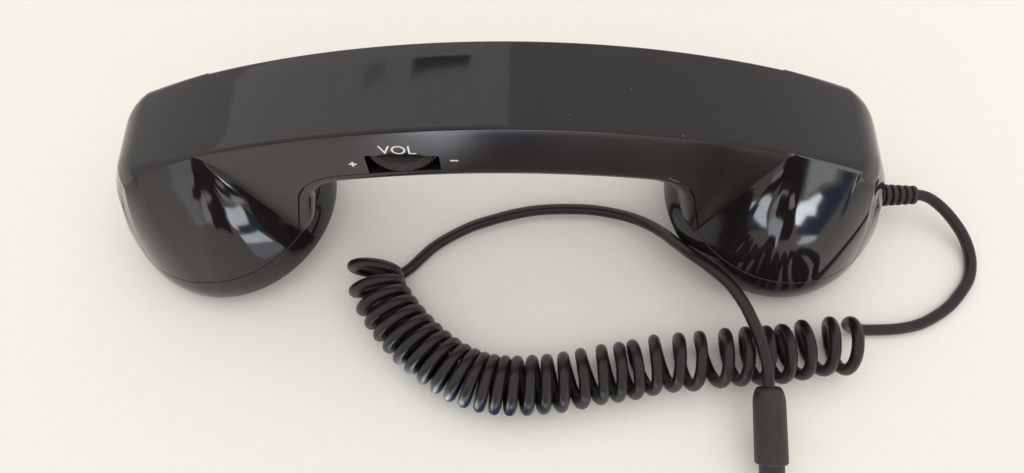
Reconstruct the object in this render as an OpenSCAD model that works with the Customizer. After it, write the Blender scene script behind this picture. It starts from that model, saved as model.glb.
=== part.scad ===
// Corded telephone handset lying on its two round cups, with a curly cord and a four-pole jack.
// Millimetres. The origin is on the table under the middle of the handle; +X runs to the
// mouthpiece, +Z is up. The ear cup is the mirror image of the mouth cup.

/* [Handset] */
// Half the distance between the centres of the two cup rims
cup_x = 77.8; // [74:0.2:82]
// Radius of a cup's rim
rim_r = 30.5; // [29.5:0.5:32]
// Lean of each cup's face towards the middle, in degrees
cup_tilt = 10; // [8:0.5:12]
// Height of the back over the table, at the middle
back_h = 68; // [66:0.5:72]
// Radius of the arc that the back follows
back_r = 215; // [205:1:235]
// Width of the flat back between its two ridges
back_w = 24; // [22:0.5:27]
// Sideways growth of the handle for each millimetre below the back
side_flare = 0.09; // [0.06:0.01:0.12]
// Distance from the middle to where the ridges start to break into the cups
ridge_x = 72; // [70:0.5:73]
// Distance from the middle to where the back starts to roll over the end
nose_x = 90.5; // [89:0.5:92]

/* [Handle] */
// Height of the handle's side from the seam to the back, at the middle
side_h = 16.4; // [15:0.1:18]
// Depth of the front shell below the seam
under_drop = 4; // [3.4:0.1:4.6]
// Distance from the middle to the centre of a neck's curve
neck_x = 36; // [35:0.5:38]
// Radius of a neck's curve, on the seam
neck_r = 15.5; // [14:0.5:17]
// Radius of the seam's long arc along the handle
seam_r = 214; // [200:1:235]
// Lean of the neck's straight wall from the vertical, in degrees
neck_lean = 14; // [12:0.5:16]
// Rounding of the handle's lower edges
under_round = 3; // [2:0.1:3.5]
// Rounding of the ridges along the back
ridge_round = 0.8; // [0.5:0.1:1.2]

/* [Shells] */
// Wall thickness of both shells
wall = 2.2; // [1.8:0.1:2.5]
// Height of the seam over a cup's face
cup_seam_h = 10; // [9.6:0.1:11]
// Height of the round skirt at the bottom of a cup
skirt_h = 6; // [5.6:0.1:7]
// Rounding of the rim's outer edge
rim_round = 2; // [1:0.1:2.4]
// Radius of the recess in a cup's face that the grille lies in
recess_r = 26; // [25.6:0.1:26.6]
// Depth of that recess
recess_h = 2.9; // [2.6:0.1:3.1]
// Thickness of a cup's inner floor
floor_t = 1.8; // [1.6:0.1:2]

/* [Grilles] */
// Thickness of a grille disc
grille_t = 1.7; // [1.2:0.1:2]
// Depth of the ear grille's dish
dish_depth = 1.6; // [0.8:0.1:1.7]
// Diameter of a sound hole
sound_hole_d = 2.2; // [1.4:0.1:2.6]
// Distance between the rings of sound holes
sound_ring_step = 4.6; // [4:0.1:4.8]
// Clearance round a grille disc
grille_gap = 0.1; // [0.05:0.05:0.2]

/* [Speaker] */
// Diameter of the receiver's flange
speaker_d = 36; // [34:0.5:36.4]
// Radius of the floor's opening under the receiver
speaker_port_r = 14.5; // [14:0.1:15]
// Thickness of the foam gasket
gasket_t = 1.4; // [1.2:0.1:1.8]
// Thickness of the receiver's flange
flange_t = 1.2; // [0.8:0.1:1.6]
// Height of the receiver's magnet over its flange
magnet_h = 6.4; // [4:0.1:7]
// Thickness of the receiver's clamp
clamp_t = 1.5; // [1.2:0.1:2]

/* [Microphone] */
// Diameter of the microphone capsule
mic_d = 9.7; // [6:0.1:12]
// Height of the microphone capsule
mic_h = 4.5; // [3:0.1:6]
// Wall of the rubber boot round the capsule
boot_wall = 1.6; // [1.2:0.1:2.4]

/* [Volume control] */
// Distance of the wheel's axis from the middle, towards the ear cup
wheel_x = 21.3; // [19:0.1:23]
// Radius of the thumbwheel
wheel_r = 10.5; // [10:0.1:10.6]
// Thickness of the thumbwheel
wheel_t = 3; // [2.6:0.1:3.2]
// How far the wheel stands out of the handle's side
wheel_proud = 2.1; // [1.6:0.1:2.4]
// Height of the wheel's lower face over the seam
wheel_lift = 2.1; // [2:0.1:2.5]
// Length of the window in the handle's side
window_l = 17.8; // [17.6:0.1:20]
// Number of ridges round the thumbwheel
wheel_ridges = 66; // [40:1:80]

/* [Call button] */
// Distance of the button from the middle, towards the mouth cup
button_x = 10; // [7:0.5:14]
// Diameter of the call button
button_d = 9; // [7:0.5:10]
// How far the button stands out of the handle
button_proud = 0.9; // [0.6:0.1:1.2]
// Travel of the button
button_travel = 0.5; // [0.3:0.1:0.6]
// Clearance round the button
button_gap = 0.3; // [0.2:0.05:0.4]

/* [Fasteners] */
// Shank diameter of the shell screws
screw_d = 2.6; // [2.2:0.1:2.8]
// Head diameter of the shell screws
screw_head_d = 5; // [4.4:0.1:5.2]
// Length of the shell screws under the head
screw_l = 12; // [10:0.5:13]
// Shank diameter of the small screws
small_screw_d = 2; // [1.6:0.1:2.2]
// Length of the small screws under the head
small_screw_l = 5; // [4.4:0.1:5.2]
// Thickness of the circuit boards
board_t = 1; // [0.8:0.1:1.2]
// Thickness of the steel weights
weight_t = 2.5; // [2:0.1:3]

/* [Cord] */
// Diameter of the cable
cord_d = 3.2; // [3:0.1:3.3]
// Outer diameter of the curly part
coil_d = 15.6; // [15:0.1:15.8]
// Length of the ribbed part of the strain relief
relief_l = 10; // [9:0.5:12]
// Diameter of the strain relief at the handset
relief_d = 6.6; // [6.2:0.1:7]
// Diameter of the strain relief at its free end
relief_end_d = 5.4; // [5:0.1:6]
// Number of ribs on the strain relief
relief_ribs = 5; // [3:1:6]

/* [Plug] */
// Diameter of the plug's moulded body
plug_d = 8.6; // [8:0.1:9]
// Length of the plug's moulded body
plug_l = 19.6; // [18:0.2:21]
// Diameter of the plug's collar
collar_d = 6.5; // [6:0.1:7]
// Length of the plug's collar
collar_l = 3.4; // [2.6:0.1:4]
// Diameter of the jack pin
jack_d = 3.5; // [3.4:0.05:3.6]

/* [Hidden] */
$fn = 64;
eps = 0.02;
far = 140;

black = [0.05, 0.05, 0.05];
rubber_black = [0.1, 0.1, 0.1];
steel = [0.6, 0.6, 0.62];
copper = [0.78, 0.52, 0.42];
board_green = [0.1, 0.35, 0.2];
foam_grey = [0.3, 0.3, 0.32];

function polar(r, a) = [r * cos(a), r * sin(a)];
function unit(v) = v / norm(v);

// The back's profile, in the XZ plane. A slope is the surface's fall from the horizontal, in degrees.
back_centre = [0, back_h - back_r];
half_w = back_w / 2;
ridge_slope = asin(ridge_x / back_r);
nose_slope = asin(nose_x / back_r);
shoulder_slope = 60;
shoulder_r = 17;
end_r = 96;
end_rise = 4.8;
nose_taper = 0.45;
cup_z = (rim_r - rim_round) * sin(cup_tilt) + rim_round * (1 - cos(cup_tilt));
function normal(slope) = [sin(slope), cos(slope)];
function back_at(x, inset) = back_centre + [x, sqrt(pow(back_r - inset, 2) - x * x)];
nose_start = back_centre + back_r * normal(nose_slope);
shoulder_centre = nose_start - shoulder_r * normal(nose_slope);
end_centre = shoulder_centre + (shoulder_r - end_r) * normal(shoulder_slope);
end_slope = acos((cup_z + end_rise - end_centre[1]) / end_r);
function nose_at(slope, inset) = slope < shoulder_slope
    ? shoulder_centre + (shoulder_r - inset) * normal(slope)
    : end_centre + (end_r - inset) * normal(slope);
function nose_width(slope) = 1 - nose_taper * pow((slope - nose_slope) / (end_slope - nose_slope), 1.5);

// A cup's own frame: its origin is the centre of the rim's face, and its Z axis leans outwards.
function cup_to_xz(r, h) = [cup_x + r * cos(cup_tilt) + h * sin(cup_tilt),
                            cup_z - r * sin(cup_tilt) + h * cos(cup_tilt)];
module in_cup(side) {
    mirror([side < 0 ? 1 : 0, 0, 0]) translate([cup_x, 0, cup_z]) rotate([0, cup_tilt, 0]) children();
}
floor_top = recess_h + floor_t;

// The seam's curve along the handle and the neck. An offset above 0 moves it into the handle.
seam_mid_h = back_h - side_h;
seam_centre = [0, seam_mid_h - seam_r];
neck_centre = seam_centre + [neck_x, sqrt(pow(seam_r - neck_r, 2) - neck_x * neck_x)];
neck_top = atan2(neck_centre[1] - seam_centre[1], neck_centre[0]);
function seam_arc(off, n) = [for (i = [0:n]) seam_centre + polar(seam_r + off, 90 - i * (90 - neck_top) / n)];
function seam_neck(off, n) = [for (i = [1:n])
    neck_centre + polar(neck_r + off, neck_top - i * (neck_top - neck_lean) / n)];
function seam_wall(off, z) = let (p = neck_centre + polar(neck_r + off, neck_lean))
    p + [tan(neck_lean), -1] * (p[1] - z);
function floor_z(x, off) = seam_centre[1] + sqrt(pow(seam_r + off, 2) - x * x);

// Half the handle's width at a point of the XZ plane, from its depth below the back.
function half_at(p, inset) = half_w - inset + side_flare * (back_r - norm(p - back_centre));

// Stations along half the handle, each with the lower and the upper point of its section. The last
// one lies inside the mouth cup.
arc_steps = 5;
neck_steps = 7;
root_reach = 20.8;
root = [cup_x - root_reach, cup_z + cup_seam_h];
neck_foot_share = 0.53;
neck_foot_z = root[1] + neck_foot_share * (neck_centre[1] - root[1]);
function wall_stop(off, k) = seam_wall(off, neck_centre[1] + (neck_foot_z - neck_centre[1]) * k / 2);
function half_stations(inset) = let (off = inset - under_drop) concat(
    [for (i = [0:arc_steps]) [seam_arc(off, arc_steps)[i], back_at(0.55 * ridge_x * i / arc_steps, inset)]],
    [for (i = [1:neck_steps]) [seam_neck(off, neck_steps)[i - 1],
        back_at((0.55 + 0.35 * i / neck_steps) * ridge_x, inset)]],
    [for (k = [1:2]) [wall_stop(off, k), back_at((0.9 + 0.03 * k) * ridge_x, inset)]],
    [[root + [inset, inset / 2] - [2, 0], back_at(ridge_x, inset)],
     [root + [inset, inset / 2], back_at(ridge_x + 2, inset + 3)]]);
function flipped(s) = [[-s[0][0], s[0][1]], [-s[1][0], s[1][1]]];
function stations(inset) = let (h = half_stations(inset), n = len(h)) concat(
    [for (i = [n - 1:-1:1]) flipped(h[i])], h);

// A section runs up one side from the lower edge to the ridge and down the other side.
under_turns = [0, 22.5, 45, 67.5, 90];
ridge_turns = [0, 45, 90];
function side_points(s, inset) = let (
    low = s[0], way = unit(s[1] - s[0]), run = norm(s[1] - s[0]),
    r = max(under_round - inset, 0.6), e = max(ridge_round - inset, 0.2)) concat(
    [for (a = under_turns) let (q = low + way * r * (1 - cos(a)))
        [q[0], half_at(q, inset) - r * (1 - sin(a)), q[1]]],
    [for (a = ridge_turns) let (q = low + way * (run - e * (1 - sin(a))))
        [q[0], half_at(q, inset) - e * (1 - cos(a)), q[1]]]);
function section(s, inset) = let (p = side_points(s, inset), n = len(p)) concat(
    [for (q = p) [q[0], -q[1], q[2]]], [for (i = [n - 1:-1:0]) p[i]]);

// A closed skin over rings that have the same number of points.
module skin(rings) {
    n = len(rings[0]);
    m = len(rings);
    polyhedron([for (ring = rings) each ring], concat(
        [[for (j = [n - 1:-1:0]) j]],
        [for (i = [0:m - 2]) for (j = [0:n - 1]) let (a = i * n + j, b = i * n + (j + 1) % n)
            each [[a, b, a + n], [b, b + n, a + n]]],
        [[for (j = [0:n - 1]) (m - 1) * n + j]]));
}

module handle_form(inset) {
    skin([for (s = stations(inset)) section(s, inset)]);
}

// The end of the back that a cup grows from: the strip between the ridges, and the nose where the
// back rolls over the end.
crown_steps = 5;
crown_sink = 0.03;
nose_steps = 8;
module crown(inset) {
    for (drop = [0, ridge_round]) {
        w = half_w - inset - ridge_round + drop;
        for (i = [0:crown_steps]) {
            p = back_centre + (back_r - inset - drop - crown_sink)
                * normal(ridge_slope + i * (nose_slope - ridge_slope) / crown_steps);
            translate([p[0] - eps, -w, p[1] - eps]) cube([eps, 2 * w, eps]);
        }
    }
    for (i = [1:nose_steps]) {
        slope = nose_slope + i * (end_slope - nose_slope) / nose_steps;
        p = nose_at(slope, inset);
        w = (half_w - inset) * nose_width(slope);
        translate([p[0] - eps, -w, p[1] - eps]) cube([eps, 2 * w, eps]);
    }
}

skirt_lap = 1;
module cup_form(side, inset) {
    hull() {
        in_cup(side) translate([0, 0, skirt_h - skirt_lap - inset])
            cylinder(r = rim_r - crown_sink - inset, h = skirt_lap + inset);
        mirror([side < 0 ? 1 : 0, 0, 0]) crown(inset);
    }
}

// The casing's outer form, or with an inset the hollow inside it.
module casing_form(inset) {
    handle_form(inset);
    for (side = [-1, 1]) cup_form(side, inset);
}

// The parting surface runs along the handle, down the necks and across the cups.
seam_corner = let (
    p = seam_wall(0, 0), o = cup_to_xz(0, cup_seam_h), w = [tan(neck_lean), -1],
    d = [cos(cup_tilt), -sin(cup_tilt)])
    p + w * ((o[0] - p[0]) * d[1] - (o[1] - p[1]) * d[0]) / (w[0] * d[1] - w[1] * d[0]);
seam_half = concat(seam_arc(0, 10), seam_neck(0, 12), [seam_corner, cup_to_xz(rim_r + 20, cup_seam_h)]);
seam_line = concat([for (i = [len(seam_half) - 1:-1:1]) [-seam_half[i][0], seam_half[i][1]]], seam_half);
module beyond_seam(limit) {
    seam_end_z = seam_line[0][1];
    rotate([90, 0, 0]) linear_extrude(2 * far, center = true)
        polygon(concat(seam_line, [[far, seam_end_z], [far, limit], [-far, limit], [-far, seam_end_z]]));
}

// Fasteners.
screw_head_h = 1.6;
small_head_d = 3.6;
small_head_h = 1;
screw_y = recess_r - screw_head_d / 2 - 1;
tower_r = screw_head_d / 2 + 1.2;
tower_sink = 0.5;
boss_r = screw_d / 2 + 2;
pocket_gap = 0.2;
head_seat_h = recess_h + screw_head_h + 0.3;
pilot_r = screw_d / 2 - 0.2;
small_pilot_r = small_screw_d / 2 - 0.15;
pilot_spare = 0.4;

// The receiver's stack over the ear cup's floor.
flange_h = floor_top + gasket_t;
clamp_h = flange_h + flange_t;
clamp_screw_r = speaker_d / 2 + 3.5;
clamp_boss_r = 2.4;
speaker_gap = 0.3;

// The microphone's boot stands in a ring on the mouth cup's floor.
boot_r = mic_d / 2 + boot_wall;
boot_floor = 1;
mic_port_r = 2.4;
mic_ring_t = 1.5;
mic_ring_h = 4;

// Weights hang from two posts in each cup.
weight_size = [26, 20];
weight_h = 21;
weight_post_x = 8;
weight_post_r = 3;

// The volume wheel, its potentiometer and its board, in one stack on the wheel's axis.
wheel_z = seam_mid_h + wheel_lift;
wheel_pos = [-wheel_x, wheel_r - half_at([-wheel_x, wheel_z], 0) - wheel_proud];
wheel_top = wheel_z + wheel_t;
shaft_r = 1.5;
running_gap = 0.05;
wheel_float = 0.15;
pot_r = 4.6;
pot_t = 1.5;
pot_z = wheel_z - wheel_float - pot_t;
volume_board_z = pot_z - board_t;
volume_board_size = [31, 19];
wheel_keeper_r = 2.8;
shaft_end = 1;

// The call button, its switch and its board.
button_flange_r = button_d / 2 + 1.3;
button_flange_t = 1;
under_z = floor_z(button_x, -under_drop);
button_flange_z = floor_z(button_x - button_flange_r, wall - under_drop) + 0.1;
switch_z = button_flange_z + button_flange_t + button_travel + 0.1;
switch_size = [6, 6, 2.6];
switch_stem_r = 1.75;
switch_stem_h = 0.9;
button_board_z = switch_z + switch_stem_h + switch_size[2];
button_board_size = [19, 17];
board_screw_y = 5.6;
volume_screw_x = volume_board_size[0] / 2 - 2.6;
button_screw_x = button_board_size[0] / 2 - 2.6;
board_screws = [[-wheel_x - volume_screw_x, board_screw_y, volume_board_z],
                [-wheel_x + volume_screw_x, board_screw_y, volume_board_z],
                [button_x - button_screw_x, board_screw_y, button_board_z],
                [button_x + button_screw_x, board_screw_y, button_board_z]];
board_post_r = 2.2;

// The strain relief leaves the mouth cup's end on the seam.
relief_z = cup_to_xz(rim_r - 1.1, cup_seam_h)[1];
relief_root_x = 109.7;
relief_neck_r = 2.5;
relief_flange_r = 4;
relief_flange_t = 1.5;
relief_flange_gap = 1.8;
relief_flange_x = relief_root_x - wall - relief_flange_gap;
relief_collar_l = 1.6;
relief_end_x = relief_root_x + relief_collar_l + relief_l;

// Routes of the cord's centre line. The coil's route is the middle of its turns.
coil_mid = coil_d / 2;
lead_route = [
    [relief_end_x, 0, relief_z], [relief_end_x + 1.5, -0.1, 9.6], [125.4, -2.2, 8.6], [129.4, -5.4, 6.4],
    [133.2, -9, 3.8], [136, -13, 2.2], [137, -17.5, 1.6], [136, -22.5, 1.6], [132.8, -27.5, 1.6],
    [127.8, -32.2, 1.6], [121.8, -35.6, 1.6], [115.2, -38, 1.6], [108.6, -39.8, 1.6], [102.4, -41.4, 1.7],
    [99, -42, 2], [96.2, -42, 2.2]];
coil_route = [
    [96.2, -44.8], [91.2, -44.8], [85.4, -45.4], [77, -47.1], [70, -47.6], [61.5, -48.2], [53, -49.3],
    [44.1, -50], [36, -51.8], [27.8, -53.1], [19.5, -54.9], [11, -55.9], [2, -56.2], [-6, -54.8],
    [-13.5, -51.3], [-20.8, -46], [-27.2, -39.6], [-32.4, -32.6], [-35.6, -26.6]];
tail_route = [
    [-31, -24.1, 4.4], [-32.4, -21.5, 3.8], [-31.6, -18.6, 2.8], [-28.4, -16.4, 1.9], [-23.6, -13.4, 1.6],
    [-18.7, -10.6, 1.6], [-12.8, -7.8, 1.6], [-6.8, -5.4, 1.6], [-0.7, -3.4, 1.6], [5.4, -1.7, 1.6],
    [11.5, -0.7, 1.6], [17.6, -0.4, 1.6], [23.7, -0.4, 1.6], [29.7, -1.1, 1.6], [35.7, -2.5, 1.8],
    [41, -5, 3.2], [45.4, -8.8, 6], [48.6, -13.2, 9.6], [51.4, -18, 13.2], [55.2, -22.6, 16.2],
    [60, -27.4, 17.6], [64, -32.8, 18.2], [66.6, -38.6, 18.4], [68.6, -44.6, 18.3], [70, -49.8, 17.5]];

// The plug lies over the coil, with the tip of its pin on the table.
plug_rear = [70.8, -57.6, 14.3];
plug_tilt = 20;
plug_yaw = 1.2;
plug_way = [sin(plug_yaw) * cos(plug_tilt), -cos(plug_yaw) * cos(plug_tilt), -sin(plug_tilt)];
plug_rear_r = 2.5;
plug_dome_l = 4.5;
jack_z = plug_l + collar_l;
jack_r = jack_d / 2;
sleeve_l = 5.2;
ring_l = 1.9;
insulator_l = 0.6;
tip_z = jack_z + sleeve_l + 3 * insulator_l + 2 * ring_l;
module in_plug() {
    translate(plug_rear) rotate([90 + plug_tilt, 0, plug_yaw]) children();
}

// Casing.

module board_posts() {
    for (p = board_screws)
        translate([p[0], p[1], p[2] + board_t]) cylinder(r = board_post_r, h = far);
    translate([wheel_pos[0], wheel_pos[1], wheel_top + wheel_float]) cylinder(r = wheel_keeper_r, h = far);
}

module cup_posts(side) {
    in_cup(side) {
        for (y = [-screw_y, screw_y]) translate([0, y, floor_top]) cylinder(r = boss_r, h = 40);
        for (x = [-weight_post_x, weight_post_x])
            translate([x, 0, weight_h + weight_t]) cylinder(r = weight_post_r, h = far);
    }
}

module pilot_holes() {
    for (side = [-1, 1]) in_cup(side) {
        for (y = [-screw_y, screw_y])
            translate([0, y, floor_top]) cylinder(r = pilot_r, h = head_seat_h + screw_l + pilot_spare - floor_top);
        for (x = [-weight_post_x, weight_post_x]) translate([x, 0, weight_h])
            cylinder(r = small_pilot_r, h = small_screw_l + pilot_spare);
    }
    for (p = board_screws) translate(p) cylinder(r = small_pilot_r, h = small_screw_l + pilot_spare);
    translate([wheel_pos[0], wheel_pos[1], wheel_top])
        cylinder(r = shaft_r + running_gap, h = shaft_end + 2 * wheel_float);
}

module wheel_window() {
    translate([-wheel_x - window_l / 2, -far, seam_mid_h - wall])
        cube([window_l, far - half_w + wall, wall + wheel_lift + wheel_t + 0.5]);
}

module relief_hole() {
    translate([cup_x, 0, relief_z]) rotate([0, 90, 0]) cylinder(r = relief_neck_r + running_gap, h = far);
}

module back_shell() {
    color(black) intersection() {
        beyond_seam(far);
        difference() {
            casing_form(0);
            difference() {
                casing_form(wall);
                for (side = [-1, 1]) cup_posts(side);
                board_posts();
            }
            pilot_holes();
            wheel_window();
            relief_hole();
        }
    }
}

// The rim's ring and the floor of a cup, as one revolved profile.
module cup_face(port_r) {
    rotate_extrude() polygon(concat(
        [[recess_r, 0]],
        [for (a = [-90:15:0]) [rim_r - rim_round, rim_round] + polar(rim_round, a)],
        [[rim_r, skirt_h - skirt_lap / 2], [rim_r - wall, skirt_h - skirt_lap / 2], [rim_r - wall, floor_top],
         [port_r, floor_top], [port_r, recess_h], [recess_r, recess_h]]));
}

module screw_towers() {
    for (side = [-1, 1]) in_cup(side) for (y = [-screw_y, screw_y])
        translate([0, y, floor_top - tower_sink]) cylinder(r = tower_r, h = cup_seam_h - floor_top + tower_sink);
}

module clamp_bosses() {
    in_cup(-1) for (x = [-clamp_screw_r, clamp_screw_r])
        translate([x, 0, floor_top - tower_sink])
            cylinder(r = clamp_boss_r, h = clamp_h - floor_top + tower_sink);
}

module mic_ring() {
    in_cup(1) translate([0, 0, floor_top]) difference() {
        translate([0, 0, -tower_sink])
            cylinder(r = boot_r + running_gap + mic_ring_t, h = mic_ring_h + tower_sink);
        cylinder(r = boot_r + running_gap, h = mic_ring_h + 1);
    }
}

module front_shell() {
    color(black) difference() {
        union() {
            intersection() {
                beyond_seam(-far);
                difference() {
                    casing_form(0);
                    casing_form(wall);
                }
            }
            in_cup(-1) cup_face(speaker_port_r);
            in_cup(1) cup_face(mic_port_r);
            screw_towers();
            clamp_bosses();
            mic_ring();
        }
        for (side = [-1, 1]) in_cup(side) for (y = [-screw_y, screw_y]) translate([0, y, 0]) {
            cylinder(r = screw_d / 2 + 0.15, h = cup_seam_h + 1);
            cylinder(r = screw_head_d / 2 + pocket_gap, h = head_seat_h);
        }
        in_cup(-1) for (x = [-clamp_screw_r, clamp_screw_r])
            translate([x, 0, clamp_h + clamp_t - small_screw_l - pilot_spare])
                cylinder(r = small_pilot_r, h = small_screw_l + 1);
        translate([button_x, 0, under_z - 5]) cylinder(r = button_d / 2 + button_gap, h = wall + 7);
        relief_hole();
    }
}

// Cup fittings.

grille_r = recess_r - grille_gap;
grille_h = recess_h - grille_t;
dish_r = speaker_port_r - 0.5;
dish_steps = 12;
function dish(r) = r < dish_r ? dish_depth * (0.5 + 0.5 * cos(180 * r / dish_r)) : 0;

module sound_holes(rings, d) {
    for (k = [0:rings], i = [0:max(6 * k, 1) - 1])
        rotate([0, 0, 60 * i / max(k, 1)]) translate([k * sound_ring_step, 0, -1])
            cylinder(d = d, h = grille_h + grille_t + dish_depth + 2);
}

module ear_grille() {
    color(black) in_cup(-1) difference() {
        translate([0, 0, grille_h]) rotate_extrude() polygon(concat(
            [for (i = [0:dish_steps]) let (r = dish_r * i / dish_steps) [r, dish(r)]],
            [[grille_r, 0], [grille_r, grille_t]],
            [for (i = [dish_steps:-1:0]) let (r = dish_r * i / dish_steps) [r, dish(r) + grille_t]]));
        sound_holes(2, sound_hole_d);
    }
}

module mouth_grille() {
    color(black) in_cup(1) difference() {
        translate([0, 0, grille_h]) cylinder(r = grille_r, h = grille_t);
        sound_holes(1, sound_hole_d);
    }
}

module ear_gasket() {
    color(foam_grey) in_cup(-1) translate([0, 0, floor_top]) difference() {
        cylinder(r = speaker_d / 2, h = gasket_t);
        translate([0, 0, -1]) cylinder(r = speaker_port_r, h = gasket_t + 2);
    }
}

module receiver_speaker() {
    basket_r = speaker_d / 2 - 3.5;
    magnet_r = speaker_d / 2 - 8;
    color(steel) in_cup(-1) translate([0, 0, flange_h]) union() {
        cylinder(r = speaker_d / 2, h = flange_t);
        cylinder(r = basket_r, h = flange_t + magnet_h / 2);
        cylinder(r = magnet_r, h = flange_t + magnet_h);
    }
}

module speaker_clamp() {
    tab_w = 7;
    color(steel) in_cup(-1) translate([0, 0, clamp_h]) difference() {
        union() {
            cylinder(r = speaker_d / 2, h = clamp_t);
            translate([-clamp_screw_r, -tab_w / 2, 0]) cube([2 * clamp_screw_r, tab_w, clamp_t]);
            for (x = [-clamp_screw_r, clamp_screw_r]) translate([x, 0, 0]) cylinder(d = tab_w, h = clamp_t);
        }
        translate([0, 0, -1]) cylinder(r = speaker_d / 2 - 3.5 + speaker_gap, h = clamp_t + 2);
        for (x = [-clamp_screw_r, clamp_screw_r])
            translate([x, 0, -1]) cylinder(r = small_screw_d / 2 + 0.15, h = clamp_t + 2);
    }
}

module microphone_boot() {
    color(rubber_black) in_cup(1) translate([0, 0, floor_top]) difference() {
        cylinder(r = boot_r, h = boot_floor + mic_h);
        translate([0, 0, boot_floor]) cylinder(d = mic_d, h = mic_h + 1);
        translate([0, 0, -1]) cylinder(r = mic_port_r, h = boot_floor + 2);
    }
}

module microphone_capsule() {
    color(steel) in_cup(1) translate([0, 0, floor_top + boot_floor]) cylinder(d = mic_d, h = mic_h);
}

module weight() {
    translate([0, 0, weight_h]) difference() {
        translate([-weight_size[0] / 2, -weight_size[1] / 2, 0])
            cube([weight_size[0], weight_size[1], weight_t]);
        for (x = [-weight_post_x, weight_post_x])
            translate([x, 0, -1]) cylinder(r = small_screw_d / 2 + 0.15, h = weight_t + 2);
    }
}

module ear_weight() {
    color(steel) in_cup(-1) weight();
}

module mouth_weight() {
    color(steel) in_cup(1) weight();
}

// Volume control.

module volume_board() {
    color(board_green) difference() {
        translate([-wheel_x - volume_board_size[0] / 2, -volume_board_size[1] / 2, volume_board_z])
            cube([volume_board_size[0], volume_board_size[1], board_t]);
        for (i = [0, 1]) translate([board_screws[i][0], board_screws[i][1], volume_board_z - 1])
            cylinder(r = small_screw_d / 2 + 0.15, h = board_t + 2);
    }
}

module volume_pot() {
    color(steel) translate([wheel_pos[0], wheel_pos[1], pot_z]) union() {
        cylinder(r = pot_r, h = pot_t);
        cylinder(r = shaft_r, h = wheel_top + shaft_end - pot_z);
    }
}

module volume_wheel() {
    ridge_r = PI * wheel_r / wheel_ridges / 2;
    color(black) translate([wheel_pos[0], wheel_pos[1], wheel_z]) difference() {
        cylinder(r = wheel_r, h = wheel_t);
        translate([0, 0, -1]) cylinder(r = shaft_r + running_gap, h = wheel_t + 2);
        for (i = [0:wheel_ridges - 1]) rotate([0, 0, i * 360 / wheel_ridges])
            translate([wheel_r, 0, -1]) cylinder(r = ridge_r, h = wheel_t + 2, $fn = 6);
    }
}

// Call button.

module button_board() {
    color(board_green) difference() {
        translate([button_x - button_board_size[0] / 2, -button_board_size[1] / 2, button_board_z])
            cube([button_board_size[0], button_board_size[1], board_t]);
        for (i = [2, 3]) translate([board_screws[i][0], board_screws[i][1], button_board_z - 1])
            cylinder(r = small_screw_d / 2 + 0.15, h = board_t + 2);
    }
}

module button_switch() {
    color(steel) translate([button_x, 0, switch_z]) union() {
        cylinder(r = switch_stem_r, h = switch_stem_h + 1);
        translate([-switch_size[0] / 2, -switch_size[1] / 2, switch_stem_h]) cube(switch_size);
    }
}

module call_button() {
    color(black) translate([button_x, 0, 0]) union() {
        translate([0, 0, button_flange_z]) cylinder(r = button_flange_r, h = button_flange_t);
        translate([0, 0, under_z - button_proud])
            cylinder(r = button_d / 2, h = button_flange_z + button_flange_t - under_z + button_proud);
    }
}

// Fasteners.

module shell_screws() {
    color(steel) for (side = [-1, 1]) in_cup(side) for (y = [-screw_y, screw_y])
        translate([0, y, head_seat_h]) union() {
            translate([0, 0, -screw_head_h]) cylinder(d = screw_head_d, h = screw_head_h);
            cylinder(r = pilot_r, h = screw_l);
        }
}

// A small screw stands with the underside of its head at the origin and its tip up.
module small_screw() {
    translate([0, 0, -small_head_h]) cylinder(d = small_head_d, h = small_head_h);
    cylinder(r = small_pilot_r, h = small_screw_l);
}

module small_screws() {
    color(steel) {
        for (p = board_screws) translate(p) small_screw();
        in_cup(-1) for (x = [-clamp_screw_r, clamp_screw_r])
            translate([x, 0, clamp_h + clamp_t]) mirror([0, 0, 1]) small_screw();
        for (side = [-1, 1]) in_cup(side) for (x = [-weight_post_x, weight_post_x])
            translate([x, 0, weight_h]) small_screw();
    }
}

// Cord.

module strain_relief() {
    groove = 0.6;
    step = relief_l / relief_ribs;
    gap_w = step * 0.36;
    slope = (relief_d - relief_end_d) / 2 / relief_l;
    function taper(x) = relief_d / 2 - slope * x;
    color(rubber_black) translate([relief_root_x, 0, relief_z]) rotate([0, 90, 0]) rotate_extrude() polygon(concat(
        [[0, relief_flange_x - relief_root_x - relief_flange_t],
         [relief_flange_r, relief_flange_x - relief_root_x - relief_flange_t],
         [relief_flange_r, relief_flange_x - relief_root_x], [relief_neck_r, relief_flange_x - relief_root_x],
         [relief_neck_r, 0], [relief_d / 2, 0], [relief_d / 2, relief_collar_l]],
        [for (i = [0:relief_ribs - 1]) let (x = i * step) each [
            [taper(x) - groove, relief_collar_l + x + eps], [taper(x) - groove, relief_collar_l + x + gap_w],
            [taper(x + gap_w), relief_collar_l + x + gap_w],
            [taper(x + step), relief_collar_l + x + step]]],
        [[0, relief_collar_l + relief_l]]));
}

// A tube whose rings stand square to the route. A flat side faces down.
function way_at(route, i) = let (n = len(route))
    unit(route[min(i + 1, n - 1)] - route[max(i - 1, 0)]);
function ring_at(p, way, r, sides) = let (s = unit(cross(way, [0, 0, 1])), u = cross(s, way))
    [for (j = [0:sides - 1]) let (a = -90 + (j + 0.5) * 360 / sides) p + r * (cos(a) * s + sin(a) * u)];
module tube(route, r, sides) {
    skin([for (i = [0:len(route) - 1]) ring_at(route[i], way_at(route, i), r, sides)]);
}

module cord_lead() {
    color(rubber_black) tube(lead_route, cord_d / 2, 8);
}

module cord_coil() {
    color(rubber_black) tube([for (p = coil_route) [p[0], p[1], coil_mid]], coil_d / 2, 16);
}

module cord_tail() {
    color(rubber_black) tube(concat(tail_route, [for (s = [5.4, 2.7, 0]) plug_rear - s * plug_way]), cord_d / 2, 8);
}

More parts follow.
